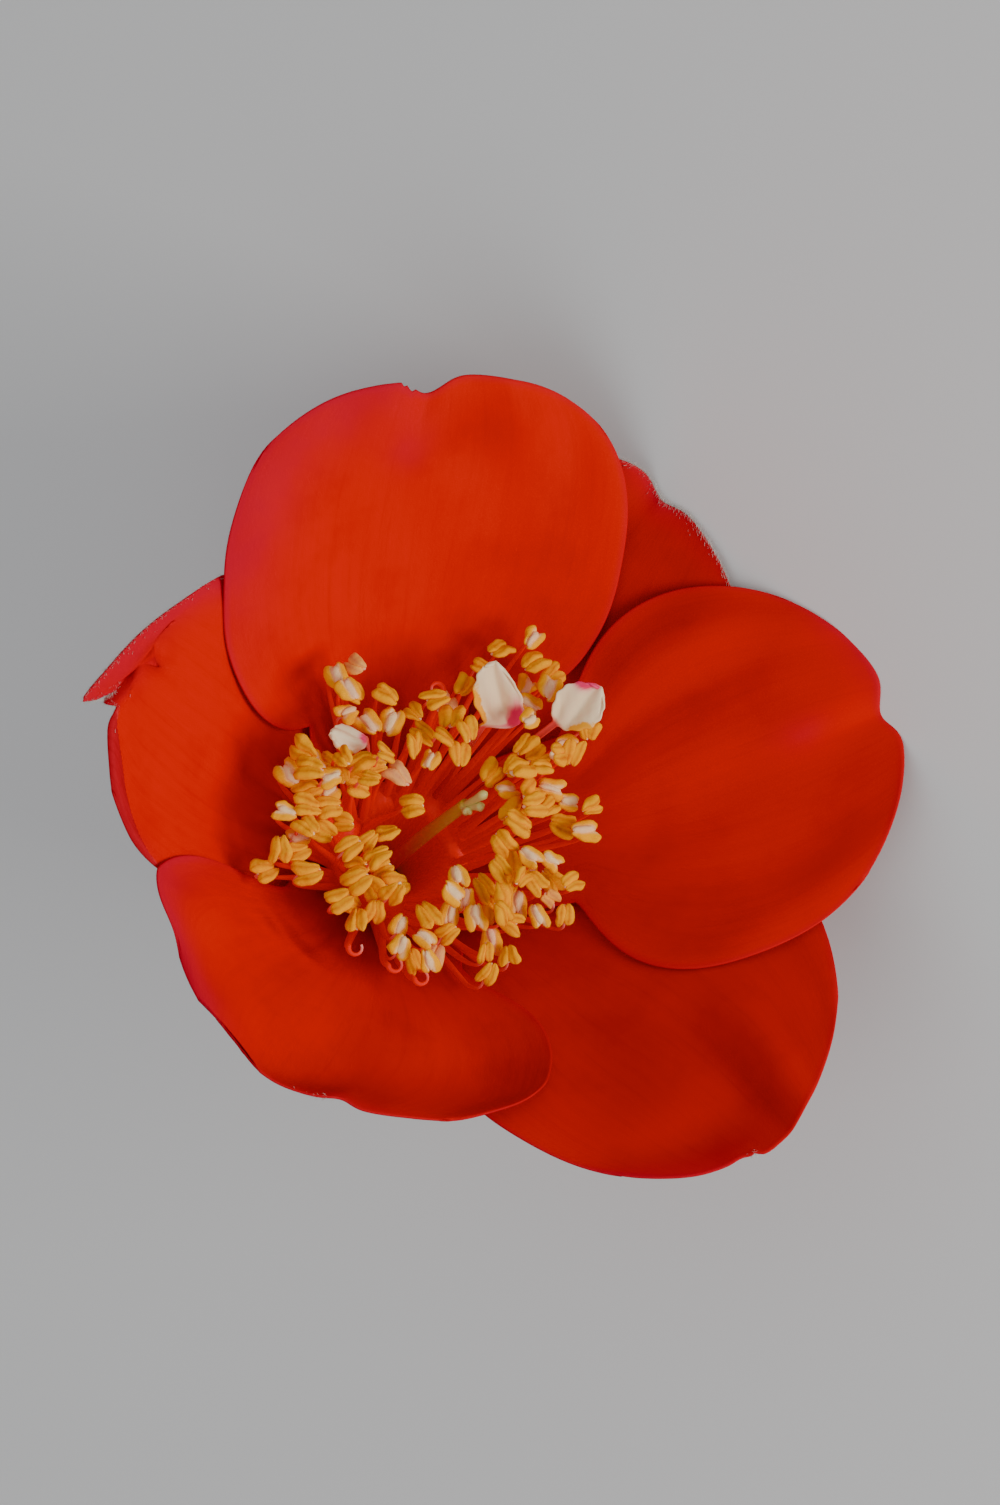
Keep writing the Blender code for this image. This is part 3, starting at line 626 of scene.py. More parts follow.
def shell(name, middle, thickness, uv, layers, finish):
    """Closed sheet round a grid of points, with a rounded rim.

    A layer has its values on both faces, or a pair: those on the inner and on the outer face."""
    rows, columns = middle.shape[:2]
    count = rows * columns
    index = np.arange(count).reshape(rows, columns)
    ring = np.concatenate([index[0, :-1], index[:-1, -1], index[-1, :0:-1], index[:0:-1, 0]])
    beside = np.clip(ring // columns, 1, rows - 2) * columns + np.clip(ring % columns, 1, columns - 2)
    flat, normals = middle.reshape(-1, 3), grid_normals(middle).reshape(-1, 3)
    half = thickness.reshape(-1, 1) / 2
    outward = flat[ring] - flat[beside]
    outward = unit(outward - normals[ring] * np.sum(outward * normals[ring], -1, keepdims=True))
    points = np.concatenate([flat + normals * half, flat - normals * half,
                             flat[ring] + outward * half[ring]])
    a, b = index[:-1, :-1].ravel(), index[:-1, 1:].ravel()
    c, d = index[1:, 1:].ravel(), index[1:, :-1].ravel()
    after = np.roll(ring, -1)
    edge = 2 * count + np.arange(len(ring))
    edge_after = np.roll(edge, -1)
    faces = [np.stack(corners, -1) for corners in (
        (a, d, c, b), (a + count, b + count, c + count, d + count),
        (ring, after, edge_after, edge), (edge, edge_after, after + count, ring + count))]
    stored = {}
    for key, values in layers.items():
        inner, outer = [side.reshape(count, -1) for side in
                        (values if isinstance(values, tuple) else (values, values))]
        stored[key] = np.concatenate([inner, outer, (inner[ring] + outer[ring]) / 2]).squeeze()
    mesh = make_mesh(name, lie_down(points), np.concatenate(faces).tolist(), **stored)
    flat_uv = np.stack([uv[0].ravel(), uv[1].ravel()], -1)
    add_uv(mesh, np.concatenate([flat_uv, flat_uv, flat_uv[ring]]))
    return add_piece(name, mesh, finish)


def tube_grid(path, radii, sides):
    """Rings round a path; the path's turning carries them along without twist."""
    path = np.asarray(path, float)
    heading = unit(np.gradient(path, axis=0))
    across = np.cross(heading[0], (0.3, 0.7, 0.2))
    turns = np.arange(sides) * 2 * pi / sides
    rings = []
    for point, ahead, radius in zip(path, heading, radii):
        across = unit(across - ahead * np.dot(across, ahead))
        deep = np.cross(ahead, across)
        rings.append(point + radius * (np.outer(np.cos(turns), across) + np.outer(np.sin(turns), deep)))
    return np.array(rings)


def ring_faces(count, sides, start=0, looped=False):
    """Faces that join rings of points; looped also joins the last ring to the first."""
    faces = []
    for i in range(count if looped else count - 1):
        low, high = start + i * sides, start + (i + 1) % count * sides
        for k in range(sides):
            n = (k + 1) % sides
            faces.append((low + k, low + n, high + n, high + k))
    return faces


def closed_rings(rings, start=0):
    """Points and faces of a tube, numbered from start; a pole closes each end."""
    rings = np.asarray(rings)
    count, sides = rings.shape[:2]
    points = np.concatenate([rings.reshape(-1, 3), rings[0].mean(0)[None], rings[-1].mean(0)[None]])
    faces = ring_faces(count, sides, start)
    low = start + count * sides
    last = low - sides
    for k in range(sides):
        n = (k + 1) % sides
        faces += [(low, start + n, start + k), (low + 1, last + k, last + n)]
    return points, faces


def bezier(points, t):
    """Points of a cubic curve at t."""
    t = np.asarray(t)[:, None]
    a, b, c, d = [np.asarray(p, float) for p in points]
    return a * (1 - t) ** 3 + b * 3 * t * (1 - t) ** 2 + c * 3 * t * t * (1 - t) + d * t ** 3


# ---------------------------------------------------------------------------------------------
# Finishes

PALE_CREASE = (0.80, 0.22, 0.24)
TUBE_PINK = (0.80, 0.12, 0.08)
LIGHT_POLLEN = (1.0, 0.52, 0.0)
ROSY_CREAM = (0.98, 0.50, 0.30)
CUP_RED = (0.62, 0.014, 0.003)
STYLE_SHEEN = (0.85, 0.70, 0.25)
BLADE_VEIN = (0.98, 0.55, 0.40)
BLADE_HALO = (0.98, 0.35, 0.38)
STRAP_RED = (0.70, 0.04, 0.03)
SEPAL_BROWN = (0.22, 0.13, 0.04)
SEPAL_GREEN = (0.10, 0.11, 0.03)
SEPAL_INSIDE = (0.30, 0.30, 0.10)
STALK_BROWN = (0.20, 0.13, 0.05)
STALK_PORE = (0.35, 0.32, 0.18)
WOOD_RING = (0.32, 0.36, 0.12)
LIGHT_HAIR = (0.80, 0.74, 0.66)


class Wire:
    """A value in a node tree; sums of these add their Math nodes."""

    def __init__(self, nodes, socket):
        self.nodes = nodes
        self.socket = socket

    def math(self, operation, *values):
        return self.nodes.add("ShaderNodeMath", dict(enumerate([self, *values])), operation=operation)

    def __add__(self, other):
        return self.math("ADD", other)

    def __sub__(self, other):
        return self.math("SUBTRACT", other)

    def __rsub__(self, other):
        return (self * -1) + other

    def __mul__(self, other):
        return self.math("MULTIPLY", other)

    __radd__ = __add__
    __rmul__ = __mul__

    def held(self):
        """Kept between 0 and 1."""
        return self.math("MAXIMUM", 0.0).math("MINIMUM", 1.0)

    def step(self, low, high):
        """0 below low, 1 above high, eased between."""
        return self.nodes.add("ShaderNodeMapRange", {"Value": self, "From Min": low, "From Max": high},
                              interpolation_type="SMOOTHSTEP")

    def beside(self, name):
        """Another output of the same node."""
        return Wire(self.nodes, self.socket.node.outputs[name])


class Nodes:
    """A node tree and the one way to add nodes to it."""

    def add(self, kind, sockets=None, output=0, **settings):
        """Adds a node and gives one of its outputs; sockets take a value or a wire each."""
        node = self.tree.nodes.new(kind)
        for key, value in settings.items():
            setattr(node, key, value)
        for key, value in (sockets or {}).items():
            self.feed(node.inputs[key], value)
        return Wire(self, node.outputs[output])

    def feed(self, socket, value):
        if isinstance(value, Wire):
            self.tree.links.new(value.socket, socket)
        else:
            socket.default_value = (*value, 1.0) if socket.type == "RGBA" else value


class Finish(Nodes):
    """A material's node tree, and the colour that it has built up so far."""

    def __init__(self, name, colour):
        self.colour = colour
        self.material = bpy.data.materials.new(name)
        self.material.use_nodes = True
        self.tree = self.material.node_tree

    def layers(self, *names):
        """Numbers stored at the mesh's points."""
        return [self.add("ShaderNodeAttribute", output="Fac", attribute_name=name) for name in names]

    def place(self):
        return self.add("ShaderNodeTexCoord", output="Object")

    def noise(self, vector, scale, detail, roughness):
        return self.add("ShaderNodeTexNoise", {"Vector": vector, "Scale": scale, "Detail": detail,
                                               "Roughness": roughness})

    def grain(self, scale, detail=2.0, roughness=0.5):
        """Noise through the piece's body."""
        return self.noise(self.place(), scale, detail, roughness)

    def streaks(self, across, along, detail=3.0):
        """Noise stretched along the piece's own sheet."""
        uv = self.add("ShaderNodeUVMap", uv_map="sheet")
        stretched = self.add("ShaderNodeMapping", {"Vector": uv, "Scale": (across, along, 1.0)})
        return self.noise(stretched, 1.0, detail, 0.6)

    def mix(self, share, low, high):
        """Colour between low and high; the share is kept between 0 and 1."""
        return self.add("ShaderNodeMix", {0: share, 6: low, 7: high}, 2, data_type="RGBA")

    def tint(self, share, colour):
        """Lays another colour over the finish."""
        self.colour = self.mix(share, self.colour, colour)

    def done(self, roughness, specular, bump=None, **sockets):
        """Feeds the shader and gives the material; bump is a height, its strength and distance.

        An underscore stands for a space in a socket's name."""
        sockets.update(Base_Color=self.colour, Roughness=roughness, Specular_IOR_Level=specular)
        if bump:
            sockets["Normal"] = self.add("ShaderNodeBump", dict(
                zip(("Height", "Strength", "Distance"), bump)))
        shader = self.tree.nodes["Principled BSDF"]
        for key, value in sockets.items():
            self.feed(shader.inputs[key.replace("_", " ")], value)
        return self.material


def petal_finish(looks):
    """Satin scarlet with darker veins, painted shade deep in the cup and in hollows, crimson margins partly
    painted as sheen, and paler feet.
    """
    finish = Finish("petal_satin", looks.scarlet)
    vein, edge, inside, crimson_and_sheen, painted_shade, height, crease = finish.layers(
        "vein", "edge", "inside", "crimson_and_sheen", "painted_shade", "height", "crease")
    streaks, fine = finish.streaks(52.0, 3.0, 4.0), finish.streaks(150.0, 9.0)
    mottle, grain = finish.grain(170.0, 3.0, 0.55), finish.grain(5200.0, 1.0)
    # Painted shade deep in the cup towards the petals' feet, and the painted shade patches, darken the red
    # along with the real veins, streaks and mottle
    painted_foot_shade = 1 - height.step(9.0, 27.0)
    dark = (painted_foot_shade * 0.45 + streaks.step(0.5, 0.8) * 0.12 + fine.step(0.5, 0.8) * 0.06 + vein * 0.04
            + mottle.step(0.45, 0.75) * 0.14 + painted_shade * 0.55)
    finish.tint(dark, looks.deep)
    # A crimson rim along every margin, painted as the margins' sheen and left out where painted shade lies
    rim = (1 - edge.step(0.0, 0.9)) * (0.45 - painted_shade * 0.5).held()
    finish.tint(crimson_and_sheen * (0.75 + mottle.step(0.3, 0.7) * 0.35) + rim, looks.crimson_and_sheen)
    back = finish.mix(streaks.step(0.45, 0.75) * 0.4 + vein * 0.35, looks.back, looks.deep)
    finish.colour = finish.mix(inside, back, finish.colour)
    finish.tint(crease * 0.5, PALE_CREASE)
    pale = (1 - height.step(1.5, 13.0)) * (1 - inside * 0.75) * (0.75 + streaks * 0.4)
    finish.tint(pale, looks.foot)
    return finish.done(0.44 + mottle * 0.14, 0.02,
                       (fine * 0.6 + streaks * 0.5 + grain * 0.35, 0.22, 0.00012))


def filament_finish(looks):
    """Red threads that pale to pink under the anthers and at the tube's foot."""
    finish = Finish("filament_red", looks.red)
    along, tone = finish.layers("along", "tone")
    streak = finish.grain(900.0)
    finish.tint(along.step(0.80, 1.0) * (0.45 + tone * 0.6), looks.pink)
    foot = (1 - along.step(0.0, 0.18)) * 0.55
    finish.tint(foot + streak.step(0.5, 0.8) * 0.12, TUBE_PINK)
    return finish.done(0.5, 0.2, (streak, 0.15, 0.0001),
                       Emission_Color=finish.colour, Emission_Strength=FILAMENT_GLOW)


def anther_finish(looks):
    """Dusty golden lobes with amber grooves and cream backs."""
    finish = Finish("anther_pollen", looks.gold)
    core, groove, tone = finish.layers("core", "groove", "tone")
    dust, clots = finish.grain(2600.0, 3.0, 0.7), finish.grain(900.0)
    finish.tint(groove * 0.8 + clots.step(0.5, 0.8) * 0.45, looks.amber)
    finish.tint(dust.step(0.5, 0.8) * 0.35, LIGHT_POLLEN)
    cream = finish.mix(tone.step(0.55, 0.95), looks.cream, ROSY_CREAM)
    bare = core * (0.6 + clots * 0.7) + tone.step(0.9, 1.0) * 0.5
    finish.tint(bare.step(0.2, 0.8), cream)
    return finish.done(0.75, 0.04, (dust * 0.6 + clots * 0.4, 0.7, 0.0002))


def pistil_finish(looks):
    """Waxy olive-yellow style, red deep in the cup, with paler, greener stigmas."""
    finish = Finish("style_wax", looks.style)
    along, = finish.layers("along")
    grain = finish.grain(1500.0)
    finish.tint(along.step(ARMS_FROM, 0.98), looks.stigma)
    finish.tint((1 - along.step(0.36, 0.64)) * 0.97, CUP_RED)
    finish.tint(grain.step(0.45, 0.8) * 0.2, STYLE_SHEEN)
    return finish.done(0.36, 0.45, (grain, 0.2, 0.0001))


def petaloid_finish(looks, gold):
    """Cream blade with a magenta streak, pink veins and some pollen on its edge."""
    finish = Finish("petaloid_cream", looks.blade)
    streak, pollen, blade = finish.layers("streak", "pollen", "blade")
    lines, grain = finish.streaks(16.0, 1.6), finish.grain(2600.0)
    finish.tint(lines.step(0.5, 0.75) * 0.3, BLADE_VEIN)
    finish.tint(streak.step(0.05, 0.5) * 0.5, BLADE_HALO)
    finish.tint((streak * (0.6 + lines * 0.9)).step(0.25, 0.8), looks.magenta)
    finish.tint((pollen * (0.5 + grain)).step(0.3, 0.6), gold)
    finish.tint(1 - blade.step(0.0, 0.35), STRAP_RED)
    return finish.done(0.45, 0.35, (lines + grain * 0.3, 0.25, 0.00012),
                       Sheen_Weight=0.2, Sheen_Roughness=0.4, Sheen_Tint=(1.0, 0.9, 0.85))


def calyx_finish(looks):
    """Green-brown scales with darker, dry margins."""
    finish = Finish("calyx_scale", looks.sepal)
    edge, inside = finish.layers("edge", "inside")
    lines, patch, grain = finish.streaks(40.0, 3.0), finish.grain(420.0, 3.0, 0.6), finish.grain(2600.0)
    finish.tint(patch.step(0.42, 0.68), SEPAL_BROWN)
    finish.tint(lines.step(0.5, 0.8) * 0.4, SEPAL_GREEN)
    finish.tint((1 - (edge + patch * 0.9).step(0.6, 2.0)) * 0.85, looks.husk)
    finish.tint(inside * 0.6, SEPAL_INSIDE)
    return finish.done(0.55 + grain * 0.2, 0.3, (lines * 0.8 + grain * 0.4 + patch * 0.4, 0.4, 0.0002),
                       Sheen_Weight=0.3, Sheen_Roughness=0.5, Sheen_Tint=(0.9, 0.85, 0.7))


def stalk_finish(looks):
    """Young green-brown stalk with pale pores, and the pale, wet-looking cut."""
    finish = Finish("stalk_bark", looks.stalk)
    cut, ring = finish.layers("cut", "ring")
    patch, grain = finish.grain(380.0, 3.0, 0.6), finish.grain(3000.0)
    pores = finish.add("ShaderNodeTexVoronoi", {"Vector": finish.place(), "Scale": 900.0})
    finish.tint(patch.step(0.4, 0.7), STALK_BROWN)
    finish.tint((1 - pores.step(0.05, 0.2)) * 0.5, STALK_PORE)
    finish.tint(cut, finish.mix(ring, looks.cut, WOOD_RING))
    return finish.done(0.5 + grain * 0.25, 0.35, (patch * 0.6 + grain * 0.5, 0.4, 0.0002))


def hair_finish(looks):
    """Silky, silvery hairs."""
    finish = Finish("silky_hair", looks.hair)
    finish.tint(finish.grain(300.0).step(0.35, 0.7), LIGHT_HAIR)
    return finish.done(0.4, 0.5)


def plain_finish(name, colour, roughness):
    finish = Finish(name, colour)
    finish.tint(finish.grain(3.0), [min(c * 1.04, 1.0) for c in colour])
    return finish.done(roughness, 0.5)


# ---------------------------------------------------------------------------------------------
# Geometry Nodes


def keep_in_box(mesh):
    """Presses the few points past the frame's box back onto it."""
    points = np.empty(len(mesh.vertices) * 3, np.float32)
    mesh.vertices.foreach_get("co", points)
    kept = np.clip(points.reshape(-1, 3), *np.array(CAD_BOX)).astype(np.float32)
    mesh.vertices.foreach_set("co", kept.ravel())
    mesh.update()


class Grower(Nodes):
    """A Geometry Nodes tree with named sizes and a material."""

    def __init__(self, name, **sizes):
        self.tree = bpy.data.node_groups.new(name, "GeometryNodeTree")
        face = self.tree.interface
        face.new_socket("Geometry", in_out="OUTPUT", socket_type="NodeSocketGeometry")
        self.keys = {key: face.new_socket(key, in_out="INPUT", socket_type="NodeSocket" + kind).identifier
                     for key, kind in {"Geometry": "Geometry", **sizes, "Material": "Material"}.items()}
        self.given = {socket.name: Wire(self, socket)
                      for socket in self.tree.nodes.new("NodeGroupInput").outputs}

    def named(self, name, kind="FLOAT"):
        """A layer stored at the points."""
        return self.add("GeometryNodeInputNamedAttribute", {"Name": name}, data_type=kind)

    def vector(self, operation, a, b):
        """Vector maths; SCALE takes a number as its second value."""
        return self.add("ShaderNodeVectorMath", {0: a, "Scale" if operation == "SCALE" else 1: b},
                        operation=operation)

    def ended(self, geometry):
        """The grower, with instances made real, shaded smooth and given the material."""
        real = self.add("GeometryNodeRealizeInstances", {"Geometry": geometry})
        smooth = self.add("GeometryNodeSetShadeSmooth", {"Geometry": real})
        done = self.add("GeometryNodeSetMaterial",
                        {"Geometry": smooth, "Material": self.given["Material"]})
        self.tree.links.new(done.socket, self.tree.nodes.new("NodeGroupOutput").inputs[0])
        return self

    def run(self, name, source, **values):
        """Grows the tree on a source mesh, and gives the result as a plain piece in the box."""
        base = add_piece(name + "_base", source)
        modifier = base.modifiers.new("grow", "NODES")
        modifier.node_group = self.tree
        for key, value in values.items():
            modifier[self.keys[key]] = value
        depsgraph = bpy.context.evaluated_depsgraph_get()
        depsgraph.update()
        mesh = bpy.data.meshes.new_from_object(base.evaluated_get(depsgraph), depsgraph=depsgraph,
                                               preserve_all_data_layers=True)
        mesh.name = name
        bpy.data.objects.remove(base, do_unlink=True)
        if not len(mesh.polygons):
            raise RuntimeError(f"{name} grew no faces")
        keep_in_box(mesh)
        return add_piece(name, mesh)


def tube_grower():
    """Round tubes along threads of points, as thick as their layer girth says."""
    grow = Grower("thread_tubes", Sides="Int")
    curve = grow.add("GeometryNodeMeshToCurve", {"Mesh": grow.given["Geometry"]})
    ring = grow.add("GeometryNodeCurvePrimitiveCircle",
                    {"Resolution": grow.given["Sides"], "Radius": 1.0}, mode="RADIUS")
    return grow.ended(grow.add("GeometryNodeCurveToMesh", {
        "Curve": curve, "Profile Curve": ring, "Scale": grow.named("girth"), "Fill Caps": True}))


def planter():
    """A copy of one object at each point, turned and sized as the points' layers say."""
    grow = Grower("copies_on_points", Copy="Object", Size="Float", Lumps="Float")
    points = grow.add("GeometryNodeMeshToPoints", {"Mesh": grow.given["Geometry"]})
    copy = grow.add("GeometryNodeObjectInfo", {"Object": grow.given["Copy"]}, "Geometry")
    turn = grow.add("FunctionNodeEulerToRotation", {"Euler": grow.named("turn", "FLOAT_VECTOR")})
    size = grow.vector("SCALE", grow.named("size", "FLOAT_VECTOR"), grow.given["Size"])
    copies = grow.add("GeometryNodeInstanceOnPoints",
                      {"Points": points, "Instance": copy, "Rotation": turn, "Scale": size})
    real = grow.add("GeometryNodeRealizeInstances", {"Geometry": copies})
    noise = grow.add("ShaderNodeTexNoise", {"Scale": 620.0, "Detail": 1.0}, "Color")
    shift = grow.vector("SCALE", grow.vector("SUBTRACT", noise, (0.5,) * 3), grow.given["Lumps"])
    return grow.ended(grow.add("GeometryNodeSetPosition", {"Geometry": real, "Offset": shift}))


def fur_grower():
    """Hairs on a surface, as dense as its layer fur says, lying the way its layer lay points."""
    grow = Grower("silky_hairs", Density="Float", Length="Float", Radius="Float", Stand="Float",
                  Seed="Int")
    given = grow.given
    points = grow.add("GeometryNodeDistributePointsOnFaces", {
        "Mesh": given["Geometry"], "Density": grow.named("fur") * given["Density"],
        "Seed": given["Seed"]})
    stand = grow.vector("SCALE", points.beside("Normal"), given["Stand"])
    tousle = grow.add("FunctionNodeRandomValue",
                      {0: (-0.35,) * 3, 1: (0.35,) * 3, "Seed": given["Seed"]}, data_type="FLOAT_VECTOR")
    aim = grow.vector("ADD", grow.vector("ADD", stand, tousle), grow.named("lay", "FLOAT_VECTOR"))
    turn = grow.add("FunctionNodeAlignRotationToVector", {"Vector": aim}, axis="Z")
    hair = grow.add("GeometryNodeMeshCone", {"Vertices": 3, "Radius Top": 0.0,
                                             "Radius Bottom": given["Radius"],
                                             "Depth": given["Length"]})
    size = grow.add("FunctionNodeRandomValue", {2: 0.45, 3: 1.25, "Seed": given["Seed"]}, 1,
                    data_type="FLOAT")
    return grow.ended(grow.add("GeometryNodeInstanceOnPoints", {
        "Points": points, "Instance": hair, "Rotation": turn, "Scale": size}))


# ---------------------------------------------------------------------------------------------
# Pieces


def petal_relief(petal, u, v, edge):
    """How far each point of a petal stands inwards from the cup, apart from ripples and veins."""
    inward = np.full_like(u, PETAL_LAYER if petal.inner else 0.0)
    inward = inward + patches(petal.swells, u, v)
    left, tip, right = petal.curl
    side = left * np.clip(u, 0, 1) ** 2 + right * np.clip(-u, 0, 1) ** 2
    both = side + tip * ease((v - 0.85) / 0.15) * (1 - u * u)
    return inward + both * np.exp(-edge / petal.roll) * ease((v - 0.35) / 0.4)


def make_petal(name, petal, looks, finish):
    """Petal: a thin sheet on the cup, thinner at its margin, with ripples, folds and veins."""
    a, b = np.linspace(-1, 1, looks.columns + 1), np.linspace(0, 1, looks.rows + 1)
    u, v = np.meshgrid(1.3 * a - 0.3 * a ** 3, 0.6 * b + 0.4 * (1 - (1 - b) ** 1.8))
    x, y = petal_outline(petal, u, v)
    edge = margin_distance(x, y)
    fold = FOLD_WIDTH * np.clip(patches(petal.folded, u, v), 0, 1)
    folded, crease = ease((fold - edge) / 0.3), bell((edge - fold) / 0.15) * ease(fold / 0.8)
    lift = FOLD_HEIGHT * folded * ease((edge + 0.15) / 0.5)
    radius, _, _ = cup_profile(y, petal.opening, petal.flare, petal.length)
    azimuth = petal.azimuth + np.degrees(x / radius)
    width = (x.max(1, keepdims=True) - x.min(1, keepdims=True)) / 2
    vein = vein_field(u, v, width) * ease(edge / 2.0)
    inward = (petal_relief(petal, u, v, edge) + cup_ripple(y, azimuth) * looks.ripple / MM
              - vein * looks.veins / MM + lift)
    middle = cup_point(y, azimuth, inward)
    thin, thick = looks.margin / MM, looks.thickness / MM
    thickness = thin + (thick - thin) * ease(edge / PETAL_THINS)
    tipwards, sideways = (unit(np.gradient(middle, axis=k)) for k in (0, 1))
    lean_out = (v ** 3)[..., None] * tipwards + (u * np.abs(u) ** 3)[..., None] * sideways
    fringe = np.zeros_like(u)
    for across, spread, strength in petal.fringe:
        fringe = np.maximum(fringe, strength * bell((u - across) / spread) ** 0.5)
    fringe = fringe * ease((v - 0.8) / 0.1)
    # Layers for the finish, among them patches of painted shade and of crimson that is partly painted sheen
    layers = {"edge": edge, "vein": vein, "height": y, "inside": (1 - folded, np.zeros_like(u)),
              "crease": (crease, 0 * crease), "crimson_and_sheen": patches(petal.crimson_and_sheen, u, v),
              "painted_shade": patches(petal.painted_shade, u, v),
              "fur": (fringe * np.exp(-edge / 0.2) * 0.3, fringe * np.exp(-edge / 0.5) * 0.5),
              "lay": unit(lean_out + tipwards * 0.6) @ TURN.T}
    return shell(name, middle, thickness, ((u + 1) / 2, v), layers, finish)


def make_scale(name, scale, finish):
    """Scale of the calyx: thick and keeled in the middle, thin at its dry margin."""
    u, v = np.meshgrid(np.linspace(-1, 1, 49), np.linspace(0, 1, 45))
    low, t = np.clip(2 * v, 0, 1), np.clip(2 * v - 1, 0, 1)
    across, up = u * np.sqrt(1 - 0.5 * t * t), t * np.sqrt(1 - 0.5 * u * u)
    ragged = 0.18 * np.sin(11 * across + scale.azimuth) + 0.1 * np.sin(27 * across + 2)
    s = np.where(v < 0.5, scale.foot + (scale.shoulder - scale.foot) * low,
                 scale.shoulder + (scale.tip - scale.shoulder + ragged * t) * up)
    s = s - 0.6 * bell(across / 0.09) * ease((v - 0.85) / 0.15)
    azimuth = scale.azimuth + scale.half_angle * across
    edge = margin_distance(np.radians(scale.half_angle * across) * cup_at(s, azimuth)[0], s)
    ribs = 0.03 * np.sin(across * 38) * ease(edge / 2)
    lift = 0.12 * ease((v - 0.8) / 0.2)
    middle = cup_point(s, azimuth, -((scale.layer + 1) * SCALE_PITCH + ribs + lift))
    none, fur = np.zeros_like(u), 0.55 + 0.45 * ease((v - 0.6) / 0.3)
    layers = {"edge": edge, "inside": (none + 1, none), "fur": (none, fur),
              "lay": unit(np.gradient(middle, axis=0)) @ TURN.T}
    thickness = SCALE_RIM + SCALE_KEEL * ease(edge / SCALE_THINS)
    return shell(name, middle, thickness, ((u + 1) / 2, v), layers, finish)


def rim_seat(row, column):
    """Middle of one face of the frame's stamen tube rim."""
    inner, outer = TUBE_RADII
    rows, columns = TUBE_SEATS
    return polar(inner + (outer - inner) * (row + 0.5) / rows, 360 * (column + 0.5) / columns, TUBE_RIM)


def petaloid_path(petaloid, t):
    """Middle line of a petaloid, how far along its blade each point is, and where the blade starts."""
    first, last = petaloid.rows[0], petaloid.rows[-1]
    seat = (rim_seat(first, petaloid.column) + rim_seat(last, petaloid.column)) / 2 + (0, 0, 0.3)
    tip = polar(*petaloid.tip)
    bend = seat + (seat[0] * 0.35, seat[1] * 0.35, (tip[2] - seat[2]) * 0.55)
    blade_from = 1 - petaloid.blade[0] / np.linalg.norm(tip - seat)
    t = np.asarray(t, float)
    grown = np.clip((t - blade_from) / (1 - blade_from), 0, 1)
    t = t[..., None]
    line = seat * (1 - t) ** 2 + bend * 2 * t * (1 - t) + tip * t * t
    line = line + np.array(petaloid.aside) * ease(t / blade_from) + np.array(petaloid.bow) * grown[..., None]
    return line, grown, blade_from


def make_petaloid(name, petaloid, finish):
    """Petaloid: a strap that widens into a cupped, crumpled blade."""
    blade_from = petaloid_path(petaloid, 0.0)[2]
    t = np.concatenate([np.linspace(0, blade_from, 14), np.linspace(blade_from, 1, 30)[1:]])
    centre, share, _ = petaloid_path(petaloid, t)
    u, grown = np.meshgrid(np.linspace(-1, 1, 25), share)
    heading = unit(np.gradient(centre, axis=0))
    across = unit(np.cross(petaloid.face or centre[0] * (1, 1, 0), heading))
    deep = np.cross(across, heading)
    bulge = np.maximum(1 - np.abs(2 * grown ** 1.35 - 1) ** 2.6, 0) ** 0.5
    bulge = bulge * (1 + 0.1 * np.sin(9 * grown + 3 * u) * np.abs(u) + 0.05 * np.sin(31 * grown + 5 * u))
    half = STRAP_HALF + (petaloid.blade[1] - STRAP_HALF) * bulge * ease(grown / 0.08)
    tip_back = -0.4 * u * u * ease((grown - 0.7) / 0.3)
    cupping = half * 0.38 * u * u + 0.16 * np.sin(6 * u + 7 * grown) * ease(grown / 0.3)
    sideways = half * u + petaloid.sway * (grown - 0.45) * ease(grown / 0.2)
    middle = centre[:, None] + sum(way[:, None] * far[..., None] for way, far in (
        (across, sideways), (deep, cupping), (heading, tip_back)))
    streak_at, streak_up, wide, high = petaloid.streak
    streak = bell((u - streak_at) / wide) * bell((grown - streak_up) / high) * ease(grown / 0.05)
    pollen_at, pollen_up, near = petaloid.pollen
    pollen = bell((u - pollen_at) / 0.28) * bell((grown - pollen_up) / near)
    thickness = PETALOID_RIM + PETALOID_KEEL * ease((1 - np.abs(u)) * half)
    return shell(name, middle, thickness, ((u + 1) / 2, grown),
                 {"streak": streak, "pollen": pollen, "blade": grown * 3}, finish)


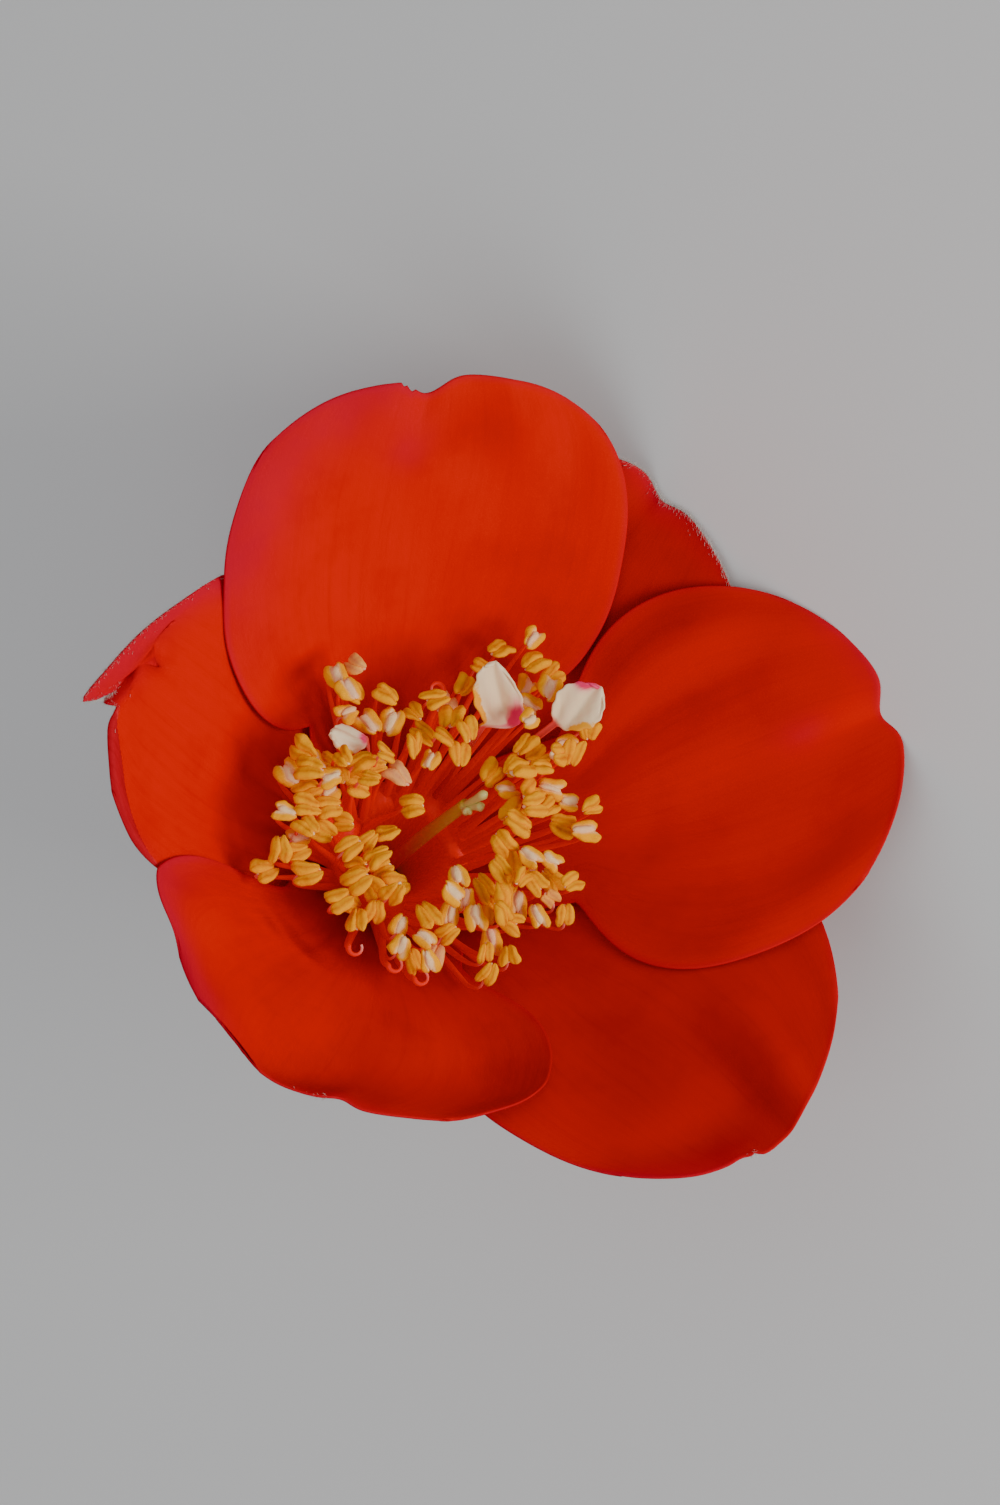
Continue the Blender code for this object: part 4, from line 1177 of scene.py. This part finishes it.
def anther_places(rng):
    """Feet of the anthers: tufts round the hollow, pushed apart where they crowd."""
    places, free = [], []
    for tuft in TUFTS.values():
        centre = polar(tuft.radius, tuft.azimuth, RING_HEIGHT + tuft.rise)
        for _ in range(tuft.count):
            shift = rng.uniform(-1, 1, 3) * (tuft.spread, tuft.spread, TUFT_HALF_HEIGHT * (tuft.spread > 0))
            places.append(centre + shift)
            free.append(tuft.spread > 0)
    places, free = np.array(places), np.array(free)
    blades = []
    for petaloid in PETALOIDS.values():
        blade_from = petaloid_path(petaloid, 0.0)[2]
        for centre in petaloid_path(petaloid, np.linspace(blade_from, 1, 4))[0]:
            blades.append((centre, petaloid.blade[1]))
    for _ in range(PUSHES):
        gap = places[:, None] - places[None]
        gap[..., 2] *= 0.55
        distance = np.linalg.norm(gap, axis=-1) + np.eye(len(places)) * 99
        push = np.clip(ANTHER_ROOM - distance, 0, None)[..., None] * gap / distance[..., None]
        move = push.sum(1) * 0.3
        for centre, half in blades:
            away = (places - centre) * (1, 1, 0.4)
            reach = np.linalg.norm(away, axis=-1)
            move += (np.clip(half + BLADE_ROOM - reach, 0, None) / reach)[:, None] * away * 0.5
        places[free] += move[free]
        away = places[:, :2] - HOLLOW_CENTRE
        reach = np.linalg.norm(away, axis=-1)
        inside = free & (reach < HOLLOW_RADIUS)
        places[inside, :2] += (away / reach[:, None] * (HOLLOW_RADIUS - reach)[:, None])[inside] * 0.5
    return places


def turn_of(long_axis, face):
    """Euler turn that points Y along long_axis and Z as near as it can to face, on the lying flower."""
    y = Vector(long_axis).normalized()
    z = Vector(face)
    z = (z - y * z.dot(y)).normalized()
    own = Matrix((y.cross(z), y, z)).transposed().to_euler().to_matrix()
    return (PLACE.to_3x3() @ own).to_euler()


def inside_cup(points):
    """Points of a filament, drawn in to where it clears the inner petals' faces."""
    azimuth = np.degrees(np.arctan2(points[:, 1], points[:, 0]))
    wall = cup_point(np.linspace(0, 46, 93), azimuth[:, None], PETAL_CLEAR)
    limit = [np.interp(point[2], face[:, 2], np.linalg.norm(face[:, :2], axis=-1))
             for point, face in zip(points, wall)]
    points[:, :2] *= np.minimum(1, limit / np.linalg.norm(points[:, :2], axis=-1))[:, None]
    return points


def plan_stamens(looks):
    """Place, turn, size and tone of each anther, and the thread of each filament."""
    rng = np.random.default_rng(looks.seed)
    places = anther_places(rng)
    count = len(places)
    azimuth = np.arctan2(places[:, 1] - HOLLOW_CENTRE[1] * 0.4, places[:, 0] - HOLLOW_CENTRE[0] * 0.4)
    even = np.empty(count)
    even[np.argsort(azimuth)] = -pi + 2 * pi * (np.arange(count) + 0.5) / count
    drift = (even - azimuth + pi) % (2 * pi) - pi
    seat_turn = np.degrees(azimuth + drift * 0.7)
    reach = np.linalg.norm(places[:, :2], axis=-1)
    turns, sizes, tones, threads = [], [], [], []
    up = np.array([0, 0, 1.0])
    for k, place in enumerate(places):
        outward = unit((place - (*HOLLOW_CENTRE, 0)) * (1, 1, 0))
        side = np.cross(up, outward)
        swing, tilt = rng.normal(0, 0.6), rng.normal(0.15, 0.28)
        flat = -outward * cos(swing) + side * sin(swing)
        aim = flat * cos(tilt) + up * sin(tilt)
        far = np.clip((reach[k] - 8) / 8, 0, 1)
        shows_back = rng.random() < 0.14 + 0.22 * far
        face = up + outward * rng.normal(0.2, 0.3) + side * rng.normal(0, 0.35)
        turns.append(turn_of(aim, -face if shows_back else face))
        sizes.append(rng.uniform(0.82, 1.14) * rng.uniform((0.86, 0.9, 0.8), (1.06, 1.08, 1.15)))
        tones.append(rng.random())
        seat_radius = 3.9 + 2.1 * np.clip((reach[k] - 5) / 12, 0, 1)
        seat = polar(seat_radius, seat_turn[k], 0)
        hook = rng.uniform(0.4, 1.4) + far * rng.uniform(0.3, 2.4)
        back = place - aim * 0.5 - up * 0.35
        bow = seat * (1 + 0.05 * seat_radius) + rng.normal(0, 0.35, 3)
        threads.append(inside_cup(bezier([seat + up * THREAD_FOOT, bow + up * 14.5,
                                          back + outward * hook - up * 5, back],
                                         np.linspace(0, 1, 22))))
    for azimuth, radius in HOOKS:
        outward, side = polar(1, azimuth, 0), polar(1, azimuth + 90, 0)
        rise = bezier([outward * 5.6 + up * THREAD_FOOT, outward * 7 + up * 14,
                       outward * (radius - 0.6) - side * 0.7 + up * 20,
                       outward * (radius - 0.2) - side * 0.6 + up * 24.6], np.linspace(0, 1, 13)[:-1])
        turned = np.linspace(-1.3, 2.6, 10)
        curl = (outward * radius + np.outer(np.cos(turned), outward) * CURL_RADIUS
                + np.outer(np.sin(turned), side) * CURL_RADIUS + np.outer(np.linspace(25.2, 25.6, 10), up))
        threads.append(inside_cup(np.concatenate([rise, curl])))
    return places, turns, sizes, tones, np.array(threads)


def anther_mesh():
    """One anther, 1 long in Y: two plump, grooved lobes that part at the foot, and a ridge behind."""
    points, faces, core, groove = [], [], [], []
    sides = 12
    turns = 2 * pi * np.arange(sides) / sides

    def take(rings, bare, dark):
        part, joined = closed_rings(rings, len(points))
        points.extend(part)
        faces.extend(joined)
        core.extend(bare(part))
        groove.extend([*np.tile(dark, len(rings)), 0.0, 0.0])

    for side in (-1, 1):
        rings = []
        for t in np.linspace(0.01, 0.99, 10):
            girth = (1 - abs(2 * t - 1) ** 2.4) ** (1 / 2.4) * (0.265 - 0.06 * t)
            ring = girth * (1 - 0.14 * bell((turns - pi / 2) / 0.4))
            rings.append(np.stack([side * (0.245 - 0.11 * t ** 1.2) + ring * np.cos(turns),
                                   np.full(sides, -0.5 + t + side * 0.02),
                                   0.04 * sin(pi * t) + ring * np.sin(turns) * 0.75], -1))
        take(rings, lambda part: np.clip(-part[:, 2] / 0.1, 0, 1) * bell(part[:, 0] / 0.2),
             bell((turns - pi / 2) / 0.3))
    rings = []
    for t in np.linspace(0.01, 0.99, 7):
        girth = (1 - abs(2 * t - 1) ** 2.2) ** (1 / 2.2)
        rings.append(np.stack([0.16 * girth * np.cos(turns), np.full(sides, -0.34 + 0.80 * t),
                               -0.10 + 0.14 * girth * np.sin(turns)], -1))
    take(rings, lambda part: np.ones(len(part)), np.zeros(sides))
    return make_mesh("anther_copy", points, faces, core=core, groove=groove)


def make_tube(name, finish):
    """Stamen tube: joined filaments, ribbed outside and in, with a wavy rim."""
    turns = np.linspace(0, 2 * pi, 221)[:-1]
    rise = WALL_RIM - TUBE_FOOT
    profile = [(4.6 + 2.6 * t ** 1.5, TUBE_FOOT + rise * t, t, 1.0) for t in np.linspace(0, 1, 20)]
    profile += [(7.2 - 2.5 * t, WALL_RIM + 0.5 * sin(pi * t), 1.0, 1 - t * 0.4)
                for t in np.linspace(0, 1, 6)[1:-1]]
    profile += [(3.0 + 1.7 * t ** 1.6, TUBE_FOOT + rise * t, t, 0.6) for t in np.linspace(1, 0, 16)]
    points, along = [], []
    for radius, height, share, ribbed in profile:
        r = radius + 0.2 * ribbed * ease(share * 1.6) * np.abs(np.sin(turns * 22)) - 0.12
        wave = 0.5 * np.sin(turns * 7 + 1) * ease((share - 0.8) / 0.2)
        points.append(round_axis(r, turns, height + wave * (height > 1)))
        along.append(np.full(len(turns), share * 0.35))
    points = np.concatenate(points)
    faces = ring_faces(len(profile), len(turns), looped=True)
    mesh = make_mesh(name, lie_down(points), faces, along=np.concatenate(along),
                     tone=np.zeros(len(points)))
    return add_piece(name, mesh, finish)


def thread_mesh(name, threads, girth, tones):
    """Loose threads of points, with girth, place along and tone stored at each."""
    count, steps = threads.shape[:2]
    index = np.arange(count * steps).reshape(count, steps)
    edges = np.stack([index[:, :-1].ravel(), index[:, 1:].ravel()], -1)
    return make_mesh(name, lie_down(threads.reshape(-1, 3)), (), edges.tolist(),
                     girth=np.tile(girth, count), along=np.tile(np.linspace(0, 1, steps), count),
                     tone=np.repeat(np.resize(tones, count), steps))


def claim(piece, slot, *nodes):
    """Says which body a piece rides on, and which frame nodes it stands for; its slot is not used."""
    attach(piece, BODY)
    if nodes:
        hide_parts(*nodes)


def ring_piece(name, parts, finish):
    """Closed tubes of rings as one piece; a layer has one value for each ring of its tube."""
    points, faces, stored = [], [], {}
    for rings, layers in parts:
        part, joined = closed_rings(rings, len(points))
        points.extend(part)
        faces.extend(joined)
        for key, values in layers.items():
            spread = np.repeat(values, len(rings[0]))
            stored.setdefault(key, []).extend([*spread, values[0], values[-1]])
    return add_piece(name, make_mesh(name, lie_down(points), faces, **stored), finish)


# ---------------------------------------------------------------------------------------------
# Operators


def scale_slot(name):
    return "bracteole" if "bracteole" in name else "sepal"


class CAMELLIA_OT_petals(bpy.types.Operator):
    """Make the six petals."""
    bl_idname = "camellia.petals"
    bl_label = "Petals"

    def execute(self, context):
        looks = context.scene.camellia_looks.petals
        finish = petal_finish(looks)
        for name, petal in PETALS.items():
            claim(make_petal(name, petal, looks, finish), "petal", petal.node)
        return {"FINISHED"}


class CAMELLIA_OT_calyx(bpy.types.Operator):
    """Make the sepals and bracteoles."""
    bl_idname = "camellia.calyx"
    bl_label = "Calyx"

    def execute(self, context):
        finish = calyx_finish(context.scene.camellia_looks.small)
        for name, scale in SCALES.items():
            claim(make_scale(name, scale, finish), scale_slot(name), scale.node)
        return {"FINISHED"}


class CAMELLIA_OT_hairs(bpy.types.Operator):
    """Grow silky hairs on petals and calyx that are already made."""
    bl_idname = "camellia.hairs"
    bl_label = "Hairs"

    def execute(self, context):
        small = context.scene.camellia_looks.small
        finish = hair_finish(small)
        grow = fur_grower()
        for base, density, stand, slot in (
                *((name, PETAL_HAIRS, PETAL_STAND, "petal") for name, petal in PETALS.items()
                  if petal.fringe or not petal.inner),
                *((name, SCALE_HAIRS, SCALE_STAND, scale_slot(name)) for name in SCALES)):
            hairs = grow.run(base + "_hairs", bpy.data.objects[base].data.copy(), Density=density,
                             Length=small.hair_length, Radius=small.hair_radius, Stand=stand,
                             Seed=len(base), Material=finish)
            claim(hairs, slot)
        return {"FINISHED"}


class CAMELLIA_OT_stamens(bpy.types.Operator):
    """Make the stamen tube, the filaments and the anthers."""
    bl_idname = "camellia.stamens"
    bl_label = "Stamens"

    def execute(self, context):
        looks = context.scene.camellia_looks.stamens
        red = filament_finish(looks)
        places, turns, sizes, tones, threads = plan_stamens(looks)
        taper = ease((np.linspace(0, 1, threads.shape[1]) - 0.25) / 0.75)
        girth = looks.filament + (looks.neck - looks.filament) * taper
        claim(tube_grower().run("filaments", thread_mesh("filament_threads", threads, girth, tones),
                                Sides=8, Material=red), "stamens", "stamens")
        claim(make_tube("stamen_tube", red), "stamens")
        copy = add_piece("anther_copy", anther_mesh())
        points = make_mesh("anther_points", lie_down(places), turn=turns, size=sizes, tone=tones)
        claim(planter().run("anthers", points, Copy=copy, Size=looks.anther, Lumps=ANTHER_LUMPS * MM,
                            Material=anther_finish(looks)), "stamens")
        bpy.data.objects.remove(copy, do_unlink=True)
        return {"FINISHED"}


class CAMELLIA_OT_petaloids(bpy.types.Operator):
    """Make the three petaloids."""
    bl_idname = "camellia.petaloids"
    bl_label = "Petaloids"

    def execute(self, context):
        looks = context.scene.camellia_looks
        finish = petaloid_finish(looks.small, looks.stamens.gold)
        for name, petaloid in PETALOIDS.items():
            claim(make_petaloid(name, petaloid, finish), "petaloid", petaloid.node)
        return {"FINISHED"}


class CAMELLIA_OT_pistil(bpy.types.Operator):
    """Make the ovary, the style and its three stigmas."""
    bl_idname = "camellia.pistil"
    bl_label = "Pistil"

    def execute(self, context):
        tip = np.array(STYLE_TIP)
        t = np.linspace(0, 1, 40)
        path = bezier([(0, 0, TUBE_FOOT + 0.1), (0, 0, 6), (0.9, 0.5, 13), tip], t)
        lean = unit(path[-1] - path[-3])
        radii = 0.92 - 0.32 * t + 1.2 * bell((path[:, 2] - 1.9) / 1.7)
        parts = [(tube_grid(path, radii * ease((t + 0.05) / 0.07), 20), {"along": t * ARMS_FROM})]
        for turn, spread, reach in STIGMA_ARMS:
            heading = polar(sin(radians(spread)), turn, cos(radians(spread)))
            s = np.linspace(0, 1, 16)
            arm = bezier([tip - lean * 1.6, tip - lean * 0.6, tip + heading * reach * 0.35,
                          tip + (heading * 0.95 + lean * 0.2) * reach * 0.85], s)
            girth = 0.44 - 0.10 * s + 0.16 * bell((s - 0.93) / 0.13)
            parts.append((tube_grid(arm, girth * (1 - 0.55 * ease((s - 0.93) / 0.07)), 14),
                          {"along": ARMS_FROM + (1 - ARMS_FROM) * s}))
            for side in (-1, 1):
                lobe_at = arm[-2] + np.cross(heading, (0, 0, 1)) * 0.26 * side
                k = np.linspace(0, 1, 7)
                lobe = lobe_at + np.outer(k - 0.5, heading) * 0.55
                parts.append((tube_grid(lobe, 0.27 * np.sin(pi * (0.1 + 0.8 * k)) ** 0.6, 10),
                              {"along": np.ones(7)}))
        finish = pistil_finish(context.scene.camellia_looks.small)
        claim(ring_piece("style", parts, finish), "pistil", "pistil")
        return {"FINISHED"}


class CAMELLIA_OT_stalk(bpy.types.Operator):
    """Make the receptacle and the cut stalk."""
    bl_idname = "camellia.stalk"
    bl_label = "Stalk"

    def execute(self, context):
        shape = [np.mean([getattr(p, k) for p in PETALS.values()]) for k in ("opening", "flare", "length")]
        radius, height, angle = cup_profile(np.linspace(-0.5, -UNDER_LENGTH, 20), *shape)
        profile = [(r, SEAT_HEIGHT) for r in (1.0, 3.0, 5.0, 6.2)]
        profile += zip(radius + np.cos(angle) * 0.12, height - np.sin(angle) * 0.12)
        wide, low = profile[-1]
        profile += [(wide + (STALK_RADIUS - wide) * ease(t) ** 0.8, low - 1.6 * t)
                    for t in np.linspace(0.1, 1, 8)]
        top = profile[-1][1]
        profile += [(STALK_RADIUS * (1 - 0.1 * t) + 0.12 * bell((t - 0.55) / 0.12) - 0.05,
                     top + (STALK_END - top) * t) for t in np.linspace(0.05, 1, 22)]
        last, cut_from = profile[-1][0], len(profile)
        profile += [(last * share, STALK_END + 0.06 * sin(share * 20))
                    for share in (0.94, 0.8, 0.62, 0.4, 0.2)]
        cut = (np.arange(len(profile)) >= cut_from) * 1.0
        ring = cut * bell((np.array([r for r, _ in profile]) / last - 0.8) / 0.12)
        turns, rings = np.linspace(0, 2 * pi, 73)[:-1], []
        for r, z in profile:
            ribs = 0.02 * np.sin(5 * turns + z * 0.5) + 0.012 * np.sin(13 * turns - z)
            rings.append(round_axis(r * (1 + ribs * (z < RIBBED_BELOW)), turns, z))
        finish = stalk_finish(context.scene.camellia_looks.small)
        claim(ring_piece("stalk", [(rings, {"cut": cut, "ring": ring})], finish), "stalk", "receptacle")
        return {"FINISHED"}


def area_light(name, aim, direction, distance, width, power, light):
    """Square soft light that looks at aim from a direction."""
    data = bpy.data.lights.new(name, "AREA")
    data.size, data.energy, data.color = width, power, light
    back = Vector(direction).normalized()
    lamp = link(name, data)
    lamp.location = Vector(aim) + back * distance
    lamp.rotation_euler = back.to_track_quat("Z", "Y").to_euler()


class CAMELLIA_OT_stage(bpy.types.Operator):
    """Make the floor, the lights and the camera."""
    bl_idname = "camellia.stage"
    bl_label = "Stage"

    def execute(self, context):
        looks = context.scene.camellia_looks.stage
        corners = [(x * FLOOR_HALF, y * FLOOR_HALF, 0) for x, y in ((-1, -1), (1, -1), (1, 1), (-1, 1))]
        mesh = make_mesh("floor", corners, [(0, 1, 2, 3)])
        add_piece("floor", mesh, plain_finish("floor_paper", looks.floor, 0.8))
        turn = radians(VIEW_AZIMUTH)
        tilt = Matrix.Rotation(radians(VIEW_TILT), 3, Vector((-sin(turn), cos(turn), 0)))
        axes = PLACE.to_3x3() @ tilt.transposed()
        right, up, back = (axes.col[i] for i in range(3))
        ring = PLACE @ Vector((0, 0, RING_HEIGHT * MM))
        data = bpy.data.cameras.new("camera")
        data.lens, data.sensor_width = VIEW_LENS, 36.0
        data.clip_start, data.clip_end = 0.01, 20.0
        camera = link("camera", data)
        place = ring + (back * VIEW_DISTANCE + right * VIEW_SHIFT[0] + up * VIEW_SHIFT[1]) * MM
        camera.matrix_world = Matrix.Translation(place) @ axes.to_4x4()
        scene = bpy.context.scene
        scene.camera = camera
        area_light("key", ring, right * 0.85 - up * 0.12 + back * 0.75, 0.55, 0.26, looks.key,
                   WARM_LIGHT)
        area_light("fill", ring, right * -0.4 - up * 0.5 + back * 0.8, 0.7, 0.5, looks.fill,
                   COOL_LIGHT)
        scene.world = bpy.data.worlds.new("pale_room")
        scene.world.use_nodes = True
        sky = scene.world.node_tree.nodes["Background"].inputs
        sky["Color"].default_value = SKY_LIGHT
        sky["Strength"].default_value = looks.sky
        return {"FINISHED"}


STEPS = (CAMELLIA_OT_stage, CAMELLIA_OT_petals, CAMELLIA_OT_calyx, CAMELLIA_OT_stalk,
         CAMELLIA_OT_stamens, CAMELLIA_OT_petaloids, CAMELLIA_OT_pistil, CAMELLIA_OT_hairs)


class CAMELLIA_PT_panel(bpy.types.Panel):
    """Lists the steps that make the flower."""
    bl_idname = "CAMELLIA_PT_panel"
    bl_label = "Camellia"
    bl_space_type = "VIEW_3D"
    bl_region_type = "UI"
    bl_category = "Camellia"

    def draw(self, context):
        for step in STEPS:
            self.layout.operator(step.bl_idname)
        looks = context.scene.camellia_looks
        for group in (looks.petals, looks.stamens, looks.small, looks.stage):
            box = self.layout.box()
            for key in group.bl_rna.properties.keys():
                if key not in {"name", "rna_type"}:
                    box.prop(group, key)


CLASSES = (PetalLooks, StamenLooks, SmallPartLooks, StageLooks, CamelliaLooks, *STEPS,
           CAMELLIA_PT_panel)


def register():
    for cls in CLASSES:
        bpy.utils.register_class(cls)
    bpy.types.Scene.camellia_looks = PointerProperty(type=CamelliaLooks)


def unregister():
    del bpy.types.Scene.camellia_looks
    for cls in reversed(CLASSES):
        bpy.utils.unregister_class(cls)


def main():
    register()
    for step in STEPS:
        group, name = step.bl_idname.split(".")
        getattr(getattr(bpy.ops, group), name)()


if __name__ == "__main__":
    main()
